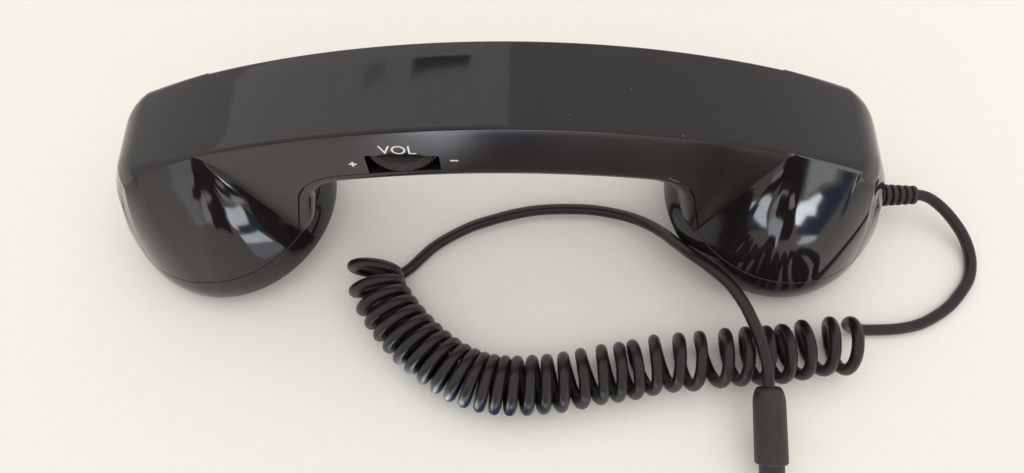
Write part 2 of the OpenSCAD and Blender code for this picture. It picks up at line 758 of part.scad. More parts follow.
// Plug.

module plug_body() {
    steps = 6;
    color(rubber_black) in_plug() rotate_extrude() polygon(concat(
        [[0, 0]],
        [for (i = [0:steps]) let (a = 90 * i / steps)
            [plug_rear_r + (plug_d / 2 - plug_rear_r) * sin(a), plug_dome_l * (1 - cos(a))]],
        [[plug_d / 2, plug_l - 0.6], [plug_d / 2 - 0.6, plug_l], [0, plug_l]]));
}

module plug_collar() {
    color(rubber_black) in_plug() translate([0, 0, plug_l]) rotate_extrude()
        polygon([[0, 0], [collar_d / 2, 0], [collar_d / 2, collar_l - 0.4],
                 [collar_d / 2 - 0.4, collar_l], [0, collar_l]]);
}

module jack_sleeve() {
    color(copper) in_plug() translate([0, 0, jack_z]) cylinder(r = jack_r, h = sleeve_l);
}

module jack_rings() {
    color(copper) in_plug() for (i = [0, 1])
        translate([0, 0, jack_z + sleeve_l + insulator_l + i * (ring_l + insulator_l)])
            cylinder(r = jack_r, h = ring_l);
}

module jack_insulators() {
    color(black) in_plug() for (i = [0:2])
        translate([0, 0, jack_z + sleeve_l + i * (ring_l + insulator_l)]) cylinder(r = jack_r, h = insulator_l);
}

module jack_tip() {
    color(copper) in_plug() translate([0, 0, tip_z]) rotate_extrude()
        polygon([[0, 0], [jack_r, 0], [jack_r - 0.5, 0.8], [jack_r - 0.05, 1.7], [jack_r - 0.8, 3.3], [0, 3.7]]);
}

back_shell();
front_shell();
ear_grille();
mouth_grille();
ear_gasket();
receiver_speaker();
speaker_clamp();
microphone_boot();
microphone_capsule();
ear_weight();
mouth_weight();
volume_board();
volume_pot();
volume_wheel();
button_board();
button_switch();
call_button();
shell_screws();
small_screws();
strain_relief();
cord_lead();
cord_coil();
cord_tail();
plug_body();
plug_collar();
jack_sleeve();
jack_rings();
jack_insulators();
jack_tip();
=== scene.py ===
"""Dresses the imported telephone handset: gloss casing, volume wheel, prints, curly cord and plug.

The classes work in millimetres, as the part's source does, and every mesh is made in metres. The
origin is on the table under the middle of the handle, +X runs to the mouthpiece and +Z is up.
"""

import logging
import math
from contextlib import contextmanager
from dataclasses import dataclass, field
from enum import Enum
from typing import Callable, Iterable, Iterator, Sequence

import bmesh
import bpy
import numpy as np
from mathutils import Matrix, Vector

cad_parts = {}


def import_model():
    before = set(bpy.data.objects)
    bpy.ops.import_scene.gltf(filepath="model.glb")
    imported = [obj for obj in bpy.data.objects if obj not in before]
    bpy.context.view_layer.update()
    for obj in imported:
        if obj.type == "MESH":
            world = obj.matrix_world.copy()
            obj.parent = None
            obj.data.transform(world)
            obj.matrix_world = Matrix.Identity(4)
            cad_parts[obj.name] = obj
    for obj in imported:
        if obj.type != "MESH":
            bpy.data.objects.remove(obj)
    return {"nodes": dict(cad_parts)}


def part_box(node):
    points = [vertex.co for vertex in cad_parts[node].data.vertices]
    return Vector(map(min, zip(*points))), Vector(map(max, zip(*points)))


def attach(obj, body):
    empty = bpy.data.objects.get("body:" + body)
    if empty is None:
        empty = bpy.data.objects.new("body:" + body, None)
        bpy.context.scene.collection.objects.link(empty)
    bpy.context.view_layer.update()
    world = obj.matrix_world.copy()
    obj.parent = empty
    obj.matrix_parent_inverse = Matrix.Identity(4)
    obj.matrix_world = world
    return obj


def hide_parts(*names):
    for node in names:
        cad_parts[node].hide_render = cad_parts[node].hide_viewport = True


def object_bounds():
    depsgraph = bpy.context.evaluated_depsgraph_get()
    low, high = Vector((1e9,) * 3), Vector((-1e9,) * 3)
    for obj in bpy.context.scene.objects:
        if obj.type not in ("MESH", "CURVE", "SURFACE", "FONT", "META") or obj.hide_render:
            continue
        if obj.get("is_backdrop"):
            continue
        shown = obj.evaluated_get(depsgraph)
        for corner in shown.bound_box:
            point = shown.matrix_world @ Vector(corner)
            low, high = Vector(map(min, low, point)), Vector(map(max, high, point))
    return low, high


log = logging.getLogger("handset")

MM = 0.001
Colour = tuple[float, float, float]
Points = np.ndarray

# Edges that turn by more than this, in degrees, stay crisp
CREASE = 28.0


class Body(Enum):
    """The CAD bodies that a piece may ride on."""

    HANDSET = "handset"
    WHEEL = "wheel"
    BUTTON = "button"


class Side(Enum):
    """The two ends of the handset, with the sign of their X."""

    EAR = -1
    MOUTH = 1


def polar(radius: float, degrees: float) -> Points:
    """Returns the point of a circle about the origin at that angle."""
    a = math.radians(degrees)
    return np.array([radius * math.cos(a), radius * math.sin(a)])


def unit(v: Points) -> Points:
    """Returns v, or each row of v, at length 1."""
    return v / np.linalg.norm(v, axis=-1, keepdims=True)


def linked(name: str, data: bpy.types.ID) -> bpy.types.Object:
    """Returns a new object of the scene with that data."""
    made = bpy.data.objects.new(name, data)
    bpy.context.scene.collection.objects.link(made)
    return made


@contextmanager
def edited(mesh: bpy.types.Mesh) -> Iterator[bmesh.types.BMesh]:
    """Opens a mesh for editing and writes it back at the end.

    Args:
        mesh: The mesh.

    Yields:
        The open form.
    """
    form = bmesh.new()
    form.from_mesh(mesh)
    yield form
    form.to_mesh(mesh)
    form.free()


def mesh_piece(name: str, points: Points, faces: Sequence[Sequence[int]],
               sharp: float = CREASE) -> bpy.types.Object:
    """Makes a piece from points in millimetres, merged, with its faces turned outwards.

    Args:
        name: The piece's name.
        points: One row of three numbers for each vertex.
        faces: Vertex numbers of each face.
        sharp: Edges that turn by more than this, in degrees, stay crisp.

    Returns:
        The new object, at the origin.
    """
    mesh = bpy.data.meshes.new(name)
    mesh.from_pydata((np.asarray(points, float) * MM).tolist(), [], [list(f) for f in faces])
    with edited(mesh) as form:
        bmesh.ops.remove_doubles(form, verts=form.verts, dist=2e-6)
        bmesh.ops.dissolve_degenerate(form, edges=form.edges, dist=1e-6)
        bmesh.ops.recalc_face_normals(form, faces=form.faces)
        soften(form, sharp)
    return linked(name, mesh)


def marks_along(line: Points) -> Points:
    """Returns how far along a line each of its points lies."""
    return np.concatenate([[0], np.cumsum(np.linalg.norm(np.diff(line, axis=0), axis=1))])


def soften(form: bmesh.types.BMesh, sharp: float) -> None:
    """Shades the faces smooth, apart from the edges that turn by more than sharp degrees.

    Args:
        form: The mesh to shade.
        sharp: The angle, in degrees.
    """
    limit = math.radians(sharp)
    for face in form.faces:
        face.smooth = True
    for edge in form.edges:
        edge.smooth = len(edge.link_faces) == 2 and edge.calc_face_angle(math.pi) < limit


def grid_faces(rows: int, cols: int, close_rows: bool, close_cols: bool,
               start: int = 0) -> list[list[int]]:
    """Returns the quads of a grid whose points are listed row by row.

    Args:
        rows: Number of rows.
        cols: Number of points in a row.
        close_rows: The last row joins the first one.
        close_cols: The end of a row joins its start.
        start: The number of the grid's first vertex.

    Returns:
        Four vertex numbers for each quad.
    """
    faces = []
    for i in range(rows if close_rows else rows - 1):
        for j in range(cols if close_cols else cols - 1):
            a, b = start + i * cols, start + (i + 1) % rows * cols
            k = (j + 1) % cols
            faces.append([a + j, a + k, b + k, b + j])
    return faces


class MeshParts:
    """Gathers the closed forms that make up one piece."""

    def __init__(self) -> None:
        """Starts empty."""
        self.points: list[Points] = []
        self.faces: list[list[int]] = []
        self.count = 0

    def add_grid(self, grid: Points, close_rows: bool = False, close_cols: bool = False,
                 ends: bool = False) -> None:
        """Adds a grid of points as quads.

        Args:
            grid: Rows of columns of points.
            close_rows: The last row joins the first one.
            close_cols: The end of a row joins its start.
            ends: The first and last row are closed by a face each.
        """
        rows, cols = grid.shape[:2]
        self.faces += grid_faces(rows, cols, close_rows, close_cols, self.count)
        if ends:
            self.faces.append([self.count + j for j in range(cols)])
            self.faces.append([self.count + (rows - 1) * cols + j for j in range(cols)])
        self.points.append(grid.reshape(-1, 3))
        self.count += rows * cols

    def piece(self, name: str, sharp: float = CREASE) -> bpy.types.Object:
        """Returns the gathered forms as one piece.

        Args:
            name: The piece's name.
            sharp: Edges that turn by more than this, in degrees, stay crisp.

        Returns:
            The new object.
        """
        return mesh_piece(name, np.concatenate(self.points), self.faces, sharp)


def turned(name: str, profile: Sequence[Sequence[float]], turns: int, place: Callable[[Points], Points],
           ends: bool = False) -> bpy.types.Object:
    """Makes a piece by turning a profile about the Z axis of its own frame.

    Args:
        name: The piece's name.
        profile: Rows of radius and height.
        turns: Number of steps round the axis.
        place: Takes points of that frame to the handset's frame.
        ends: The first and last row are closed by a face each.

    Returns:
        The new object.
    """
    angles = np.linspace(0, 2 * math.pi, turns, endpoint=False)
    ring = np.stack([np.cos(angles), np.sin(angles)], 1)
    rows = [np.column_stack([ring * r, np.full(turns, h)]) for r, h in profile]
    parts = MeshParts()
    parts.add_grid(place(np.stack(rows)), close_cols=True, ends=ends)
    return parts.piece(name)


def baked(piece: bpy.types.Object) -> bpy.types.Object:
    """Turns a piece with modifiers into a plain mesh of the same name.

    Args:
        piece: The piece; it keeps its place and loses its modifiers.

    Returns:
        The same piece.
    """
    bpy.context.view_layer.update()
    solid = bpy.data.meshes.new_from_object(piece.evaluated_get(bpy.context.evaluated_depsgraph_get()))
    piece.modifiers.clear()
    old = piece.data
    piece.data = solid
    bpy.data.meshes.remove(old)
    solid.name = piece.name
    return piece


def carve(piece: bpy.types.Object, cutter: bpy.types.Object) -> None:
    """Cuts a closed form out of a piece and deletes it.

    Args:
        piece: The piece to cut.
        cutter: The closed form.
    """
    cut = piece.modifiers.new("cut", "BOOLEAN")
    cut.operation = "DIFFERENCE"
    cut.solver = "EXACT"
    cut.object = cutter
    baked(piece)
    bpy.data.objects.remove(cutter)
    with edited(piece.data) as form:
        soften(form, CREASE)


def enter(piece: bpy.types.Object, body: Body, slot: str, *nodes: str) -> bpy.types.Object:
    """Hangs a piece on its body's empty and hides the CAD nodes that it replaces.

    Args:
        piece: The piece.
        body: The body that it rides on.
        slot: Not used.
        nodes: The CAD nodes that it replaces.

    Returns:
        The piece.
    """
    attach(piece, body.value)
    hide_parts(*nodes)
    log.info("%s: %d faces", piece.name, len(piece.data.polygons))
    return piece


# A colour mix's sockets, by number, since its float and vector sockets have the same names
MIX_FACTOR, MIX_LOW, MIX_HIGH, MIX_RESULT = 0, 6, 7, 2


class Wiring:
    """A node tree in the making, with short calls for its nodes and links."""

    def __init__(self, tree: bpy.types.NodeTree) -> None:
        """Empties the tree.

        Args:
            tree: The node tree to fill.
        """
        self.tree = tree
        tree.nodes.clear()

    def feed(self, value: object, target: bpy.types.NodeSocket) -> None:
        """Joins a socket to a target, or gives the target a plain value.

        Args:
            value: The socket or the value.
            target: The input that takes it.
        """
        if isinstance(value, bpy.types.NodeSocket):
            self.tree.links.new(value, target)
        else:
            target.default_value = value

    def node(self, kind: str, inputs: dict[str, object] | None = None, **values: object) -> bpy.types.Node:
        """Adds a node.

        Args:
            kind: The node's type name.
            inputs: Sockets or plain values for its named inputs.
            values: Attributes of the node.

        Returns:
            The new node.
        """
        made = self.tree.nodes.new(kind)
        for key, value in values.items():
            setattr(made, key, value)
        for label, value in (inputs or {}).items():
            self.feed(value, made.inputs[label])
        return made

    def place(self) -> bpy.types.NodeSocket:
        """Returns the object's own coordinates."""
        return self.node("ShaderNodeTexCoord").outputs["Object"]

    def noise(self, vector: bpy.types.NodeSocket, scale: object, **values: float) -> bpy.types.NodeSocket:
        """Adds a noise texture.

        Args:
            vector: The coordinates that it reads.
            scale: Its scale, as a socket or a number.
            values: Its other named inputs.

        Returns:
            The noise, from 0 to 1.
        """
        return self.node("ShaderNodeTexNoise", {"Vector": vector, "Scale": scale, **values}).outputs["Fac"]

    def math(self, operation: str, *terms: object, clamp: bool = False) -> bpy.types.NodeSocket:
        """Adds a Math node over sockets and numbers.

        Args:
            operation: Its operation.
            terms: Sockets or plain numbers.
            clamp: The result is kept from 0 to 1.

        Returns:
            The result's socket.
        """
        made = self.node("ShaderNodeMath", operation=operation, use_clamp=clamp)
        for term, target in zip(terms, made.inputs):
            self.feed(term, target)
        return made.outputs[0]

    def mix_colour(self, factor: bpy.types.NodeSocket, low: object, high: object) -> bpy.types.NodeSocket:
        """Adds a colour mix.

        Args:
            factor: The socket that mixes.
            low: The colour at 0, as three numbers or a socket.
            high: The colour at 1, as three numbers or a socket.

        Returns:
            The mixed colour's socket.
        """
        made = self.node("ShaderNodeMix", data_type="RGBA")
        self.feed(factor, made.inputs[MIX_FACTOR])
        for value, target in ((low, made.inputs[MIX_LOW]), (high, made.inputs[MIX_HIGH])):
            self.feed(value if isinstance(value, bpy.types.NodeSocket) else (*value, 1.0), target)
        return made.outputs[MIX_RESULT]


def new_material(name: str) -> tuple[bpy.types.Material, Wiring]:
    """Makes an empty material.

    Args:
        name: Its name.

    Returns:
        The material and its wiring.
    """
    made = bpy.data.materials.new(name)
    made.use_nodes = True
    return made, Wiring(made.node_tree)


Group = tuple[bpy.types.NodeTree, Wiring, list[bpy.types.NodeSocket], bpy.types.NodeSocket]


def shader_group(name: str, inputs: dict[str, float], output: str) -> Group:
    """Starts a shader node group that reads a vector and named numbers, and puts out one value.

    Args:
        name: The group's name.
        inputs: Named numbers with their usual values.
        output: The name of the value that it puts out.

    Returns:
        The group, its wiring, the sockets of the vector and the numbers, and the output's socket.
    """
    group = bpy.data.node_groups.new(name, "ShaderNodeTree")
    face = group.interface
    face.new_socket("Vector", in_out="INPUT", socket_type="NodeSocketVector")
    for label, value in inputs.items():
        face.new_socket(label, in_out="INPUT", socket_type="NodeSocketFloat").default_value = value
    face.new_socket(output, in_out="OUTPUT", socket_type="NodeSocketFloat")
    wiring = Wiring(group)
    start, end = wiring.node("NodeGroupInput"), wiring.node("NodeGroupOutput")
    return group, wiring, [start.outputs[n] for n in ("Vector", *inputs)], end.inputs[output]


class SurfaceEffects:
    """The shader groups that the finishes share."""

    def __init__(self) -> None:
        """Builds each group once."""
        self.dust = self._dust()
        self.mottle = self._mottle()
        self.grain = self._grain()
        self.scratches = self._scratches()

    def _dust(self) -> bpy.types.NodeTree:
        """Returns a group whose Mask is 1 on small scattered specks."""
        usual = {"Scale": 400.0, "Size": 0.11, "Share": 0.1}
        group, w, (vector, scale, size, share), out = shader_group("dust_specks", usual, "Mask")
        cells = w.node("ShaderNodeTexVoronoi", {"Vector": vector, "Scale": scale}, feature="F1")
        parts = w.node("ShaderNodeSeparateColor", {"Color": cells.outputs["Color"]})
        chosen = w.math("LESS_THAN", parts.outputs[0], share)
        near = w.math("LESS_THAN", cells.outputs["Distance"], w.math("MULTIPLY", parts.outputs[1], size))
        w.feed(w.math("MULTIPLY", chosen, near), out)
        return group

    def _mottle(self) -> bpy.types.NodeTree:
        """Returns a group with a slow drift from 0 to 1, for colour and roughness."""
        usual = {"Scale": 40.0, "Contrast": 1.0}
        group, w, (vector, scale, contrast), out = shader_group("slow_mottle", usual, "Value")
        noise = w.noise(vector, scale, Detail=5.0, Roughness=0.55)
        spread = w.math("MULTIPLY", w.math("SUBTRACT", noise, 0.5), contrast)
        w.feed(w.math("ADD", spread, 0.5, clamp=True), out)
        return group

    def _grain(self) -> bpy.types.NodeTree:
        """Returns a group with the fine relief of moulded plastic or rubber, as a height."""
        usual = {"Scale": 1500.0, "Waviness": 0.5}
        group, w, (vector, scale, waviness), out = shader_group("moulded_grain", usual, "Height")
        fine = w.noise(vector, scale, Detail=2.0)
        wide = w.noise(vector, w.math("MULTIPLY", scale, 0.08), Detail=1.0)
        w.feed(w.math("ADD", fine, w.math("MULTIPLY", wide, waviness)), out)
        return group

    def _scratches(self) -> bpy.types.NodeTree:
        """Returns a group whose Mask is above 0 on thin hairlines."""
        usual = {"Scale": 60.0, "Width": 0.02, "Amount": 0.6}
        group, w, (vector, scale, width, amount), out = shader_group("hairlines", usual, "Mask")
        masks = []
        for turn, stretch in ((0.5, 0.08), (2.1, 0.05)):
            way = w.node("ShaderNodeMapping", {"Vector": vector, "Rotation": (0.3 * turn, 0.2, turn),
                                               "Scale": (1.0, stretch, 1.0)})
            noise = w.noise(way.outputs["Vector"], scale, Detail=1.0)
            off = w.math("ABSOLUTE", w.math("SUBTRACT", noise, 0.5))
            masks.append(w.math("LESS_THAN", off, width))
        patchy = w.math("GREATER_THAN", w.noise(vector, 35.0), 0.56)
        worn = w.math("MULTIPLY", w.math("MAXIMUM", *masks), patchy)
        w.feed(w.math("MULTIPLY", worn, amount), out)
        return group


@dataclass(frozen=True)
class Finish:
    """A finish of this handset: its colour, gloss, relief and what has settled on it."""

    name: str
    colour: Colour
    second: Colour
    roughness: float
    spread: float = 0.05
    metallic: float = 0.0
    mottle_scale: float = 60.0
    grain_scale: float = 1500.0
    waviness: float = 0.5
    relief: float = 0.05
    relief_mm: float = 0.02
    dust: float = 0.0
    dust_scale: float = 620.0
    dust_colour: Colour = (0.20, 0.19, 0.18)
    hairlines: float = 0.0

    def material(self, effects: SurfaceEffects) -> bpy.types.Material:
        """Builds the finish as a material.

        Args:
            effects: The shared shader groups.

        Returns:
            The material.
        """
        made, w = new_material(self.name)
        place = w.place()
        mottle = self._effect(w, effects.mottle, place, Scale=self.mottle_scale, Contrast=1.6)
        colour = w.mix_colour(mottle, self.colour, self.second)
        rough = w.math("ADD", w.math("MULTIPLY", mottle, self.spread), self.roughness)
        if self.hairlines:
            rough = w.math("ADD", rough, self._effect(w, effects.scratches, place, Amount=self.hairlines))
        if self.dust:
            specks = self._effect(w, effects.dust, place, Scale=self.dust_scale, Share=self.dust)
            rough = w.math("MAXIMUM", rough, w.math("MULTIPLY", specks, 0.8))
            colour = w.mix_colour(specks, colour, self.dust_colour)
        grain = self._effect(w, effects.grain, place, Scale=self.grain_scale, Waviness=self.waviness)
        relief = {"Strength": self.relief, "Distance": self.relief_mm * MM, "Height": grain}
        bump = w.node("ShaderNodeBump", relief)
        shader = w.node("ShaderNodeBsdfPrincipled", {
            "Base Color": colour, "Roughness": rough, "Metallic": self.metallic,
            "Normal": bump.outputs["Normal"]})
        w.node("ShaderNodeOutputMaterial", {"Surface": shader.outputs[0]})
        return made

    @staticmethod
    def _effect(w: Wiring, group: bpy.types.NodeTree, place: bpy.types.NodeSocket,
                **values: float) -> bpy.types.NodeSocket:
        """Places a shared group in a material.

        Args:
            w: The material's wiring.
            group: The shader group.
            place: The coordinates that it reads.
            values: Its named inputs.

        Returns:
            The group's one output.
        """
        return w.node("ShaderNodeGroup", {"Vector": place, **values}, node_tree=group).outputs[0]


GLOSS_BLACK = Finish("gloss_black_casing", (0.009, 0.0075, 0.0075), (0.014, 0.012, 0.011), 0.045, 0.04,
                     mottle_scale=25, grain_scale=260, waviness=1.2, relief=0.12, relief_mm=0.01,
                     dust=0.05)
# The handle's sides: a rougher finish than the back, with the base colour painted lighter than the gloss black
# to stand in for the brighter reflection that the sides show.
SIDE_BLACK_PAINTED_LIGHTER = Finish("side_casing_painted_lighter", (0.016, 0.0105, 0.0095), (0.021, 0.014, 0.0125), 0.24, 0.06,
                    mottle_scale=25, grain_scale=420, waviness=1.2, relief=0.25, relief_mm=0.01,
                    dust=0.05)
WHEEL_BLACK = Finish("ridged_wheel", (0.020, 0.015, 0.013), (0.032, 0.024, 0.021), 0.45, 0.15,
                     relief=0.3, dust=0.08, dust_scale=900)
BUTTON_BLACK = Finish("satin_button", (0.02, 0.02, 0.021), (0.03, 0.03, 0.031), 0.3, 0.1, relief=0.2)
GRILLE_BLACK = Finish("satin_grille", (0.016, 0.015, 0.015), (0.026, 0.025, 0.025), 0.32, 0.12,
                      grain_scale=1800, relief=0.35, relief_mm=0.03, dust=0.06)
CORD_BLACK = Finish("satin_cord", (0.007, 0.0045, 0.005), (0.014, 0.010, 0.010), 0.3, 0.12,
                    mottle_scale=160, grain_scale=1400, relief=0.3, relief_mm=0.03, dust=0.1, dust_scale=700)
RUBBER_BLACK = Finish("moulded_rubber", (0.018, 0.014, 0.013), (0.032, 0.027, 0.025), 0.42, 0.14,
                      mottle_scale=220, grain_scale=1700, relief=0.35, relief_mm=0.04, dust=0.08,
                      dust_scale=800)
SEAL_BLACK = Finish("boot_rubber", (0.03, 0.03, 0.03), (0.05, 0.05, 0.05), 0.6, 0.15, relief=0.4)
FOAM_GREY = Finish("open_foam", (0.09, 0.09, 0.095), (0.19, 0.19, 0.2), 0.85, 0.1,
                   mottle_scale=1400, grain_scale=2600, relief=0.9, relief_mm=0.3)
SPEAKER_STEEL = Finish("speaker_steel", (0.5, 0.5, 0.51), (0.63, 0.63, 0.64), 0.26, 0.16, metallic=1.0,
                       mottle_scale=90, hairlines=0.2)
WEIGHT_STEEL = Finish("sawn_steel", (0.36, 0.36, 0.37), (0.52, 0.51, 0.5), 0.34, 0.22, metallic=1.0,
                      mottle_scale=120, relief=0.3, hairlines=0.3)
SCREW_STEEL = Finish("zinc_screws", (0.55, 0.56, 0.58), (0.72, 0.72, 0.72), 0.24, 0.14, metallic=1.0)
CAPSULE_METAL = Finish("capsule_aluminium", (0.62, 0.63, 0.65), (0.74, 0.75, 0.76), 0.3, 0.12, metallic=1.0)
BOARD_GREEN = Finish("board_laminate", (0.02, 0.11, 0.05), (0.035, 0.17, 0.075), 0.36, 0.12,
                     mottle_scale=500, relief=0.25)
COPPER_PINK = Finish("copper_contact", (0.80, 0.50, 0.42), (0.88, 0.62, 0.53), 0.16, 0.12, metallic=1.0,
                     hairlines=0.1)
NICKEL = Finish("nickel_contact", (0.80, 0.77, 0.73), (0.90, 0.88, 0.85), 0.14, 0.1, metallic=1.0,
                hairlines=0.1)
INSULATOR_BLACK = Finish("insulator_rings", (0.02, 0.02, 0.02), (0.03, 0.03, 0.03), 0.35)
PRINT_WHITE = Finish("white_print", (0.80, 0.80, 0.79), (0.90, 0.90, 0.88), 0.35, 0.1,
                     mottle_scale=900, relief=0.15)


class Paint:
    """Makes each finish's material once and puts it on pieces."""

    def __init__(self) -> None:
        """Builds the shared shader groups."""
        self.effects = SurfaceEffects()
        self.made: dict[str, bpy.types.Material] = {}

    def material(self, finish: Finish) -> bpy.types.Material:
        """Returns the finish's material, built at its first use."""
        if finish.name not in self.made:
            self.made[finish.name] = finish.material(self.effects)
        return self.made[finish.name]

    def dress(self, piece: bpy.types.Object, finish: Finish) -> bpy.types.Object:
        """Puts one finish on the whole of a piece.

        Args:
            piece: The piece.
            finish: Its finish.

        Returns:
            The piece.
        """
        piece.data.materials.clear()
        piece.data.materials.append(self.material(finish))
        return piece

    def dress_node(self, node: bpy.types.Object, finish: Finish) -> None:
        """Puts a finish in the material slots of a CAD node.

        Args:
            node: The CAD node's object.
            finish: Its finish.
        """
        if not node.material_slots:
            node.data.materials.append(self.material(finish))
        for slot in node.material_slots:
            slot.material = self.material(finish)


@dataclass
class CasingForm:
    """The handset's outer form, with the source's driving sizes in millimetres."""

    cup_x: float = 77.8
    rim_r: float = 30.5
    cup_tilt: float = 10
    back_h: float = 68
    back_r: float = 215
    back_w: float = 24
    side_flare: float = 0.09
    ridge_x: float = 72
    nose_x: float = 90.5
    seam_mid_h: float = 51.6
    under_drop: float = 4
    neck_x: float = 36
    neck_r: float = 15.5
    seam_r: float = 214
    neck_lean: float = 14
    under_round: float = 3
    ridge_round: float = 0.8
    cup_seam_h: float = 10
    skirt_h: float = 6
    rim_round: float = 2
    wall: float = 2.2
    shoulder_slope: float = 60
    end_slope: float = 80
    shoulder_r: float = 17
    end_r: float = 96
    nose_taper: float = 0.45

    def __post_init__(self) -> None:
        """Works out the points and slopes that follow from the sizes."""
        self.half_w = self.back_w / 2
        self.back_centre = np.array([0, self.back_h - self.back_r])
        self.ridge_slope = math.degrees(math.asin(self.ridge_x / self.back_r))
        self.nose_slope = math.degrees(math.asin(self.nose_x / self.back_r))
        start = self.back_centre + self.back_r * self.normal(self.nose_slope)
        self.shoulder_centre = start - self.shoulder_r * self.normal(self.nose_slope)
        inwards = self.normal(self.shoulder_slope)
        self.end_centre = self.shoulder_centre + (self.shoulder_r - self.end_r) * inwards
        lean = math.radians(self.cup_tilt)
        self.cup_z = (self.rim_r - self.rim_round) * math.sin(lean) + self.rim_round * (1 - math.cos(lean))
        self.seam_centre = np.array([0, self.seam_mid_h - self.seam_r])
        reach = self.seam_r - self.neck_r
        self.neck_centre = self.seam_centre + [self.neck_x, math.sqrt(reach**2 - self.neck_x**2)]
        rise = self.neck_centre[1] - self.seam_centre[1]
        self.neck_top = math.degrees(math.atan2(rise, self.neck_centre[0]))

    @staticmethod
    def normal(slope: float) -> Points:
        """Returns the outward direction in the XZ plane where the surface falls by slope degrees."""
        a = math.radians(slope)
        return np.array([math.sin(a), math.cos(a)])

    def back_at(self, x: float, inset: float = 0) -> Points:
        """Returns the point of the back's arc over x, or that far inside it."""
        return self.back_centre + [x, math.sqrt((self.back_r - inset) ** 2 - x * x)]

    def nose_at(self, slope: float) -> Points:
        """Returns the point where the back, rolling over the end, falls by slope degrees."""
        if slope < self.shoulder_slope:
            return self.shoulder_centre + self.shoulder_r * self.normal(slope)
        return self.end_centre + self.end_r * self.normal(slope)

    def nose_width(self, slope: float) -> float:
        """Returns the share of the back's width that is left at that slope of the nose."""
        part = (slope - self.nose_slope) / (self.end_slope - self.nose_slope)
        return 1 - self.nose_taper * max(part, 0) ** 1.5

    def half_at(self, p: Points, inset: float = 0) -> float:
        """Returns half the handle's width at a point of the XZ plane."""
        depth = self.back_r - np.linalg.norm(p - self.back_centre)
        return self.half_w - inset + self.side_flare * depth

    def to_cup(self, p: Points) -> Points:
        """Takes points of the handset's frame to the mouth cup's frame."""
        a = math.radians(self.cup_tilt)
        x, z = p[..., 0] - self.cup_x, p[..., 2] - self.cup_z
        return np.stack([x * math.cos(a) - z * math.sin(a), p[..., 1], x * math.sin(a) + z * math.cos(a)], -1)

    def from_cup(self, p: Points, side: Side = Side.MOUTH) -> Points:
        """Takes points of a cup's frame to the handset's frame.

        Args:
            p: The points, with Z along the cup's axis.
            side: Which cup they belong to.

        Returns:
            The points in the handset's frame.
        """
        a = math.radians(self.cup_tilt)
        x = self.cup_x + p[..., 0] * math.cos(a) + p[..., 2] * math.sin(a)
        z = self.cup_z - p[..., 0] * math.sin(a) + p[..., 2] * math.cos(a)
        return np.stack([side.value * x, p[..., 1], z], -1)

    def seam_wall(self, offset: float, z: float) -> Points:
        """Returns the point of a neck's straight wall at height z, beside the seam by offset."""
        p = self.neck_centre + polar(self.neck_r + offset, self.neck_lean)
        return p + np.array([math.tan(math.radians(self.neck_lean)), -1]) * (p[1] - z)

    def seam_corner(self) -> Points:
        """Returns the point where the neck's seam meets the seam across a cup."""
        p = self.seam_wall(0, 0)
        o = self.from_cup(np.array([0.0, 0.0, self.cup_seam_h]))[[0, 2]]
        way = np.array([math.tan(math.radians(self.neck_lean)), -1])
        a = math.radians(self.cup_tilt)
        across = np.array([math.cos(a), -math.sin(a)])
        gap = o - p
        return p + way * (gap[0] * across[1] - gap[1] * across[0]) / (way[0] * across[1] - way[1] * across[0])


